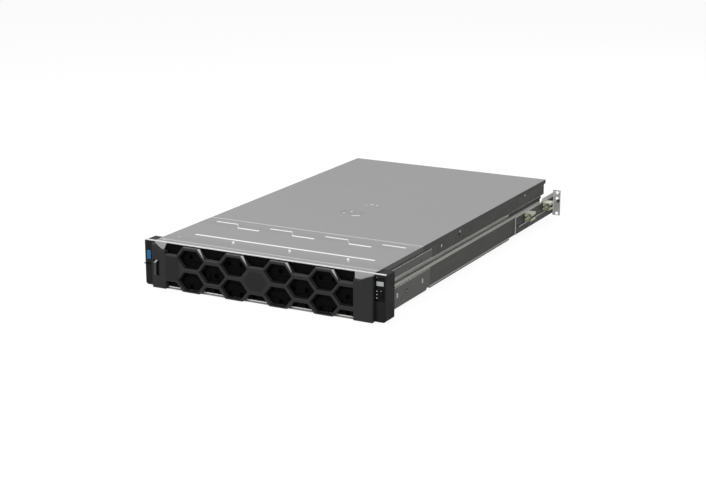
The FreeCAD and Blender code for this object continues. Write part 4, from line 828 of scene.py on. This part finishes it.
def addWallScrews():
    first, level = wallScrew["along"][0], wallScrew["level"]
    tip = wallScrew["face"] + wallScrew["head"]
    middle = (wallScrew["face"] + wallScrew["head"] / 2, first, level)
    screw = addRound("wallScrew", middle, wallScrew["radius"], wallScrew["head"], "X", wallScrew["sides"])
    across = (tip - wallScrew["crossDeep"], tip + wallScrew["crossPast"])
    thin, long = wallScrew["cross"], wallScrew["crossLong"]
    for wide, tall in ((thin, long), (long, thin)):
        cutAway(screw, addBlock("crossCutter", across, about(first, wide), about(level, tall)))
    breakEdges(screw, wallScrew["edge"])
    screws = [screw]
    for along in wallScrew["along"][1:]:
        screws.append(copyTo(screw, "wallScrewCopy", (0, along - first, 0)))
    tab = addBlock("wallTab", (wallTab["face"], wallTab["face"] + wallTab["proud"]),
                   about(wallTab["along"], wallTab["wide"]), about(wallTab["level"], wallTab["tall"]))
    breakEdges(tab, wallTab["edge"])
    right = joinAll(screws + [tab], "wallScrewsRight")
    left = copyTo(right, "wallScrewsLeft", (0, 0, 0))
    dressSide(right, "right", "chassis", "brightZinc")
    dressSide(left, "left", "chassis", "brightZinc")


addWallScrews()
print("stage: wall screws set")


# rails: hooks in the front bracket and a dark disc behind its hole as painted shade, the rear bracket's slot
# rim, liner and spring latch

railTrim = {"web": 223.0, "face": 224.5, "hookAlong": (42.5, 141.5), "hookWide": 4.2,
            "hookLevels": (22.7, 31.3), "hookProud": 0.9, "hookEdge": 0.7, "rimAlong": (586.0, 727.0),
            "rimLevels": (21.1, 22.4), "rimProud": 0.6, "rimEdge": 0.4, "roundSegments": 3,
            "linerAcross": (223.2, 224.1), "linerAlong": (662.0, 727.4), "linerLevels": (22.4, 29.3),
            "linerHollow": (1.2, 0.3), "linerEdge": 0.3, "shadeDisc": (223.2, 82.0, 27.0), "shadeDiscRadius": 2.3,
            "shadeDiscThick": 0.5, "shadeDiscHollow": (0.7, 0.2), "shadeDiscSides": 20}


def addRailTrim(side):
    face = railTrim["face"]
    fixedBody, slidingBody = "outer_rail_" + side, "rear_bracket_" + side
    hooks = []
    for along in railTrim["hookAlong"]:
        hook = addBlock("bracketHook", (railTrim["web"], face + railTrim["hookProud"]),
                        about(along, railTrim["hookWide"]), railTrim["hookLevels"])
        breakEdges(hook, railTrim["hookEdge"], railTrim["roundSegments"])
        hooks.append(hook)
    rim = addBlock("slotRim_" + side, (face, face + railTrim["rimProud"]), railTrim["rimAlong"],
                   railTrim["rimLevels"])
    breakEdges(rim, railTrim["rimEdge"], railTrim["roundSegments"])
    liner = addBlock("slotLiner_" + side, railTrim["linerAcross"], railTrim["linerAlong"],
                     railTrim["linerLevels"])  # it closes the slot past the clip's travel
    hollowSide(liner, alongX, *railTrim["linerHollow"])
    breakEdges(liner, railTrim["linerEdge"])
    # a dark disc behind the front bracket's hole: painted shade
    shadeDisc = addRound("holeShadeDisc_" + side, railTrim["shadeDisc"], railTrim["shadeDiscRadius"], railTrim["shadeDiscThick"], "X",
                    railTrim["shadeDiscSides"])
    hollowSide(shadeDisc, alongX, *railTrim["shadeDiscHollow"])
    dressSide(joinAll(hooks, "bracketHooks_" + side), side, fixedBody, "markWhite")
    dressSide(shadeDisc, side, fixedBody, "tagBlack")
    dressSide(rim, side, slidingBody, "brightZinc")
    dressSide(liner, side, slidingBody, "armZinc")


slideStrip = {"across": (210.4, 214.5), "along": (6.0, 728.0), "levels": (47.5, 53.3), "groove": (1.5, 0.7),
              "edge": 0.35}
stopTab = {"across": (214.3, 217.6), "along": (536.0, 552.0), "levels": (51.0, 52.9), "taper": (1, 0.7, 1),
           "edge": 0.4}


def addSlideStrip(side):
    strip = addBlock("slideStrip_" + side, slideStrip["across"], slideStrip["along"], slideStrip["levels"])
    hollowSide(strip, alongX, *slideStrip["groove"], steep=True)
    breakEdges(strip, slideStrip["edge"])
    tab = addBlock("stopTab_" + side, stopTab["across"], stopTab["along"], stopTab["levels"])
    taperSide(tab, alongX, stopTab["taper"])
    breakEdges(tab, stopTab["edge"])
    dressSide(strip, side, "chassis", "stripZinc")
    dressSide(tab, side, "chassis", "markWhite")


clipLips = {"thick": 1.2, "inset": 1.6, "clear": 0.1, "levels": ((36.6, 42.6), (27.6, 31.2)),
            "taper": (1, 1, 0.6), "edge": 0.35}


def addClipLips(node):
    low, high = nodeBox(node)
    sign = 1 if high[0] > 0 else -1
    outer = max(abs(low[0]), abs(high[0])) - clipLips["clear"]
    across = (sign * (outer - clipLips["thick"]), sign * outer)
    along = (low[1] + clipLips["inset"], high[1] - clipLips["clear"])
    lips = []
    for levels in clipLips["levels"]:
        lip = addBlock("clipLip", across, along, levels)
        taperSide(lip, alongY, clipLips["taper"])  # it narrows towards its free end
        breakEdges(lip, clipLips["edge"])
        lips.append(lip)
    dressPiece(joinAll(lips, node.replace("clip", "clipLips")), bodyOf[node], "yellowZinc")


latchBlock = {"across": (233.4, 238.6), "along": (772.6, 775.0), "levels": (31.0, 38.0),
              "fingerHollow": (1.1, 1.2), "edge": 0.3}
latchLever = {"across": (229.6, 236.6), "along": (773.6, 775.0), "levels": (22.4, 24.0), "rise": 5.0,
              "edge": 0.35}


def addSpringLatch(side):
    block = addBlock("latchBlock_" + side, latchBlock["across"], latchBlock["along"], latchBlock["levels"])
    hollowSide(block, towardsFront, *latchBlock["fingerHollow"])
    breakEdges(block, latchBlock["edge"])
    lever = addBlock("latchLever_" + side, latchLever["across"], latchLever["along"], latchLever["levels"])
    shiftSide(lever, alongX, (0, 0, latchLever["rise"]))  # the lever slants up to its hook
    breakEdges(lever, latchLever["edge"])
    dressSide(block, side, "rear_bracket_" + side, "rivetZinc")
    dressSide(lever, side, "rear_bracket_" + side, "brightZinc")


for side in ("right", "left"):
    addRailTrim(side)
    addSlideStrip(side)
    addClipLips("guide_clip_" + side)
    addClipLips("end_clip_" + side)
    addSpringLatch(side)
print("stage: rail trim set")


# rear: perforated slot covers, supply inlets and guards, port contacts

slotCover = {"columns": (-143.3, -14.3), "levels": (34.0, 52.5, 71.0), "wide": 112.0, "tall": 18.0,
             "near": 730.6, "thick": 1.2, "cellsAcross": 28, "cellsUp": 4, "sideMargin": 4.6, "margin": 2.3,
             "bar": 0.75}


def addSlotCovers():
    column, level = slotCover["columns"][0], slotCover["levels"][0]
    clearSelection()
    bpy.ops.mesh.primitive_grid_add(x_subdivisions=slotCover["cellsAcross"], size=1,
                                    y_subdivisions=slotCover["cellsUp"], rotation=axisTurns["Y"],
                                    location=(column * mm, slotCover["near"] * mm, level * mm))
    cover = bpy.context.object
    cover.scale = (slotCover["wide"] * mm, slotCover["tall"] * mm, 1)
    settle(cover)
    reach = slotCover["wide"] / 2 - slotCover["sideMargin"]
    rise = slotCover["tall"] / 2 - slotCover["margin"]
    pickFaces(cover, lambda centre, normal: abs(centre.x / mm - column) < reach
              and abs(centre.z / mm - level) < rise)
    bpy.ops.mesh.inset(thickness=slotCover["bar"] * mm, use_individual=True)
    bpy.ops.mesh.delete(type="FACE")
    leaveEdit()
    addModifier(cover, "SOLIDIFY", thickness=slotCover["thick"] * mm, offset=-1.0)
    covers = [cover]
    for across in slotCover["columns"]:
        for upward in slotCover["levels"]:
            if (across, upward) != (column, level):
                covers.append(copyTo(cover, "slotCoverCopy", (across - column, 0, upward - level)))
    joined = joinAll(covers, "perforatedCovers")
    dressPiece(joined, "chassis", "brightZinc")
    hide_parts("slot_covers")


inlet = {"inset": 21.0, "wide": 27.6, "tall": 20.2, "deep": 15.0, "rimWide": 2.2, "rimProud": 0.8,
         "rimEdge": 0.3, "pinWide": 2.0, "pinTall": 4.2, "pinLong": 11.0, "pinTaper": (0.6, 1, 0.7),
         "pinEdge": 0.2, "pinPlaces": ((-7.0, -2.6), (0.0, 2.6), (7.0, -2.6))}
fanGuard = {"inset": 54.0, "radii": (4.0, 8.0, 12.0), "wire": 0.7, "sunk": 0.2, "flat": (1, 0.75, 1),
            "around": 36, "section": 8}
supplyLamp = {"inset": 38.6, "rise": 13.5, "proud": 0.2, "radius": 1.3, "deep": 0.8, "edge": 0.3, "sides": 16}


def addInlet(number, left, face, middle):
    across = left + inlet["inset"]
    rim = addBlock(f"inletRim_{number}", about(across, inlet["wide"] + 2 * inlet["rimWide"]),
                   (face, face + inlet["rimProud"]), about(middle, inlet["tall"] + 2 * inlet["rimWide"]))
    pickFaces(rim, lambda centre, normal: abs(normal.y) > shaping["facing"])
    bpy.ops.mesh.inset(thickness=inlet["rimWide"] * mm, use_individual=True)
    bpy.ops.mesh.bridge_edge_loops()
    leaveEdit()
    breakEdges(rim, inlet["rimEdge"])
    root = face - inlet["deep"]
    pins = []
    for aside, above in inlet["pinPlaces"]:
        pin = addBlock("inletPin", about(across + aside, inlet["pinWide"]), (root, root + inlet["pinLong"]),
                       about(middle + above, inlet["pinTall"]))
        taperSide(pin, alongY, inlet["pinTaper"])  # blades narrow at their tips
        breakEdges(pin, inlet["pinEdge"])
        pins.append(pin)
    dressPiece(rim, f"psu_{number}", "mouldedBlack")
    dressPiece(joinAll(pins, f"inletPins_{number}"), f"psu_{number}", "portTin")


def addFanGuard(number, left, face, middle):
    place = [value * mm for value in (left + fanGuard["inset"], face - fanGuard["sunk"], middle)]
    wires = []
    for radius in fanGuard["radii"]:
        clearSelection()
        bpy.ops.mesh.primitive_torus_add(major_radius=radius * mm, minor_radius=fanGuard["wire"] * mm,
                                         major_segments=fanGuard["around"], location=place,
                                         minor_segments=fanGuard["section"], rotation=axisTurns["Y"])
        wire = bpy.context.object
        settle(wire)
        startEdit(wire)
        bpy.ops.transform.resize(value=fanGuard["flat"])  # pressed flat where it is welded
        leaveEdit()
        wires.append(wire)
    dressPiece(joinAll(wires, f"fanGuard_{number}"), f"psu_{number}", "brightZinc")


def addSupplyLamp(number, left, face, middle):
    place = (left + supplyLamp["inset"], face + supplyLamp["proud"], middle + supplyLamp["rise"])
    lamp = addRound(f"supplyLamp_{number}", place, supplyLamp["radius"], supplyLamp["deep"], "Y",
                    supplyLamp["sides"])
    breakEdges(lamp, supplyLamp["edge"])
    dressPiece(lamp, f"psu_{number}", "lampGreen")


portTrim = {"first": -188.5, "pitch": 24.0, "ports": 2, "root": 720.4, "contacts": 8, "contactPitch": 1.02,
            "contactWide": 0.5, "contactLong": 8.0, "contactLevels": (18.1, 18.7), "contactRise": 1.6,
            "tongueWide": 9.6, "tongueLong": 10.0, "tongueLevels": (13.8, 15.6), "tongueEdge": 0.35}


def addPortTrim():
    root, count = portTrim["root"], portTrim["contacts"]
    contacts = []
    tongues = []
    for number in range(portTrim["ports"]):
        middle = portTrim["first"] + number * portTrim["pitch"]
        for index in range(count):
            across = middle + (index - (count - 1) / 2) * portTrim["contactPitch"]
            contact = addBlock("portContact", about(across, portTrim["contactWide"]),
                               (root, root + portTrim["contactLong"]), portTrim["contactLevels"])
            shiftSide(contact, alongY, (0, 0, portTrim["contactRise"]))  # the springs rise towards the mouth
            contacts.append(contact)
        middle = portTrim["first"] + (number + portTrim["ports"]) * portTrim["pitch"]
        tongue = addBlock("portTongue", about(middle, portTrim["tongueWide"]),
                          (root, root + portTrim["tongueLong"]), portTrim["tongueLevels"])
        breakEdges(tongue, portTrim["tongueEdge"])
        tongues.append(tongue)
    dressPiece(joinAll(contacts, "networkContacts"), "chassis", "contactGold")
    dressPiece(joinAll(tongues, "portTongues"), "chassis", "mouldedBlack")


addSlotCovers()
for number in (1, 2):
    caseLow, caseHigh = nodeBox(f"psu_case_{number}")
    caseMiddle = (caseLow[2] + caseHigh[2]) / 2
    addInlet(number, caseLow[0], caseHigh[1], caseMiddle)
    addFanGuard(number, caseLow[0], caseHigh[1], caseMiddle)
    addSupplyLamp(number, caseLow[0], caseHigh[1], caseMiddle)
addPortTrim()
print("stage: rear fitted")


# right ear: its small lamp, set above the panel, and the power button's

earLamp = {"place": (224.6, -32.925, 78.6), "radius": 1.0, "deep": 0.65, "edge": 0.15, "sides": 16}
powerLamp = {"radius": 0.9, "deep": 0.5, "edge": 0.1}


def addEarLamps():
    lamp = addRound("earLamp", earLamp["place"], earLamp["radius"], earLamp["deep"], "Y", earLamp["sides"])
    breakEdges(lamp, earLamp["edge"])
    dressPiece(lamp, "chassis", "displayGrey")
    low, high = nodeBox("power_button")
    middle = ((low[0] + high[0]) / 2, low[1], (low[2] + high[2]) / 2)
    dot = addRound("powerLamp", middle, powerLamp["radius"], powerLamp["deep"], "Y", earLamp["sides"])
    breakEdges(dot, powerLamp["edge"])
    dressPiece(dot, bodyOf["power_button"], "displayGrey")


addEarLamps()
print("stage: ear fitted")


# system board: generic components between the duct and the risers

boardParts = {"top": 9.6, "edge": 0.25, "chipTall": 2.2, "chipRim": 0.14, "chipStep": 0.7,
              "chips": ((-150.0, 440.0, 24.0), (-60.0, 470.0, 34.0), (60.0, 450.0, 20.0),
                        (150.0, 470.0, 26.0)),
              "canRadius": 4.0, "canTall": 9.0, "canHollow": (0.7, 0.35), "canSides": 20,
              "cans": ((-110.0, 430.0), (-100.0, 430.0), (-90.0, 430.0), (10.0, 500.0), (22.0, 500.0),
                       (34.0, 500.0), (100.0, 430.0), (112.0, 430.0), (124.0, 430.0)),
              "headerLong": 26.0, "headerWide": 7.0, "headerTall": 8.0, "headerHollow": (1.0, 5.5),
              "headers": ((-180.0, 500.0), (-120.0, 515.0), (90.0, 515.0), (170.0, 515.0))}


def addBoardParts():
    top, edge = boardParts["top"], boardParts["edge"]
    chipLevels = (top, top + boardParts["chipTall"])
    chips = []
    for across, away, wide in boardParts["chips"]:
        chip = addBlock("boardChip", about(across, wide), about(away, wide), chipLevels)
        hollowSide(chip, alongZ, wide * boardParts["chipRim"], -boardParts["chipStep"])  # its lid stands up
        breakEdges(chip, edge)
        chips.append(chip)
    cans = []
    for across, away in boardParts["cans"]:
        can = addRound("boardCan", (across, away, top + boardParts["canTall"] / 2), boardParts["canRadius"],
                       boardParts["canTall"], "Z", boardParts["canSides"])
        hollowSide(can, alongZ, *boardParts["canHollow"])
        breakEdges(can, edge)
        cans.append(can)
    headers = []
    for across, away in boardParts["headers"]:
        header = addBlock("boardHeader", about(across, boardParts["headerLong"]),
                          about(away, boardParts["headerWide"]), (top, top + boardParts["headerTall"]))
        hollowSide(header, alongZ, *boardParts["headerHollow"], steep=True)
        breakEdges(header, edge)
        headers.append(header)
    dressPiece(joinAll(chips, "boardChips"), "chassis", "mouldedBlack")
    dressPiece(joinAll(cans, "boardCans"), "chassis", "castAlloy")
    dressPiece(joinAll(headers, "boardHeaders"), "chassis", "glideWhite")


addBoardParts()
print("stage: board fitted")


# camera at the photograph's angle, pale floor and world, soft studio lamps

viewpoint = {"place": (1.3571, -2.2406, 0.8235), "tilt": 74.672, "turn": 28.070, "lens": 80.06,
             "sensor": 36.0, "clip": (0.01, 50.0)}
studio = {"white": (1.0, 1.0, 1.0, 1.0), "worldAmbient": 0.25, "floorSide": 14.0, "floorMiddle": 0.35,
          "floorDrop": 0.2, "floorDiffuse": 0.13, "floorGlow": 0.92}
lamps = [
    {"name": "topBox", "place": (-0.5, 0.2, 2.6), "aim": (0, 0.3, 0.05), "size": 2.4, "power": 34.5},
    {"name": "frontBox", "place": (-1.1, -2.4, 1.3), "aim": (0, 0.0, 0.05), "size": 1.4, "power": 48.0},
    {"name": "sideBox", "place": (2.4, -1.5, 1.0), "aim": (0.2, 0.35, 0.05), "size": 1.4, "power": 28.0},
    {"name": "rearBox", "place": (0.4, 2.6, 1.6), "aim": (0, 0.4, 0.05), "size": 1.2, "power": 12.0},
]


def addCamera():
    bpy.ops.object.camera_add(location=viewpoint["place"],
                              rotation=(math.radians(viewpoint["tilt"]), 0, math.radians(viewpoint["turn"])))
    camera = bpy.context.object
    camera.data.sensor_width = viewpoint["sensor"]
    camera.data.lens = viewpoint["lens"]
    camera.data.clip_start, camera.data.clip_end = viewpoint["clip"]
    bpy.context.scene.camera = camera


def paleMask(tree):
    path = addNode(tree, "ShaderNodeLightPath")
    seen = addMath(tree, "MAXIMUM", path.outputs["Is Camera Ray"], path.outputs["Is Glossy Ray"])
    return addMath(tree, "MAXIMUM", seen, path.outputs["Is Transmission Ray"])


def makeWorld():
    world = bpy.data.worlds.new("paleStudio")
    world.use_nodes = True
    tree = world.node_tree
    back = tree.nodes["Background"].inputs
    back["Color"].default_value = studio["white"]
    feed(tree, back["Strength"], addRange(tree, paleMask(tree), 0.0, 1.0, studio["worldAmbient"], 1.0))
    bpy.context.scene.world = world


def makeFloor():
    clearSelection()
    bpy.ops.mesh.primitive_plane_add(size=studio["floorSide"],
                                     location=(0, studio["floorMiddle"], cadLow.z - studio["floorDrop"] * mm))
    floor = bpy.context.object
    floor.name = "paleFloor"
    settle(floor)
    material = bpy.data.materials.new("paleFloor")
    material.use_nodes = True
    tree = material.node_tree
    shader = tree.nodes["Principled BSDF"].inputs
    shader["Base Color"].default_value = (*grey(studio["floorDiffuse"]), 1.0)
    shader["Roughness"].default_value = 1.0
    shader["Specular IOR Level"].default_value = 0.0
    shader["Emission Color"].default_value = studio["white"]
    feed(tree, shader["Emission Strength"], addMath(tree, "MULTIPLY", paleMask(tree), studio["floorGlow"]))
    floor.data.materials.append(material)


def addLamp(lamp):
    clearSelection()
    bpy.ops.object.light_add(type="AREA", location=lamp["place"])
    light = bpy.context.object
    light.name = lamp["name"]
    light.data.size = lamp["size"]
    light.data.energy = lamp["power"]
    aim = Vector(lamp["aim"]) - Vector(lamp["place"])
    light.rotation_euler = aim.to_track_quat("-Z", "Y").to_euler()


addCamera()
makeWorld()
makeFloor()
for lamp in lamps:
    addLamp(lamp)
bpy.context.scene.view_settings.view_transform = "Standard"
print("stage: camera, floor and lamps set")
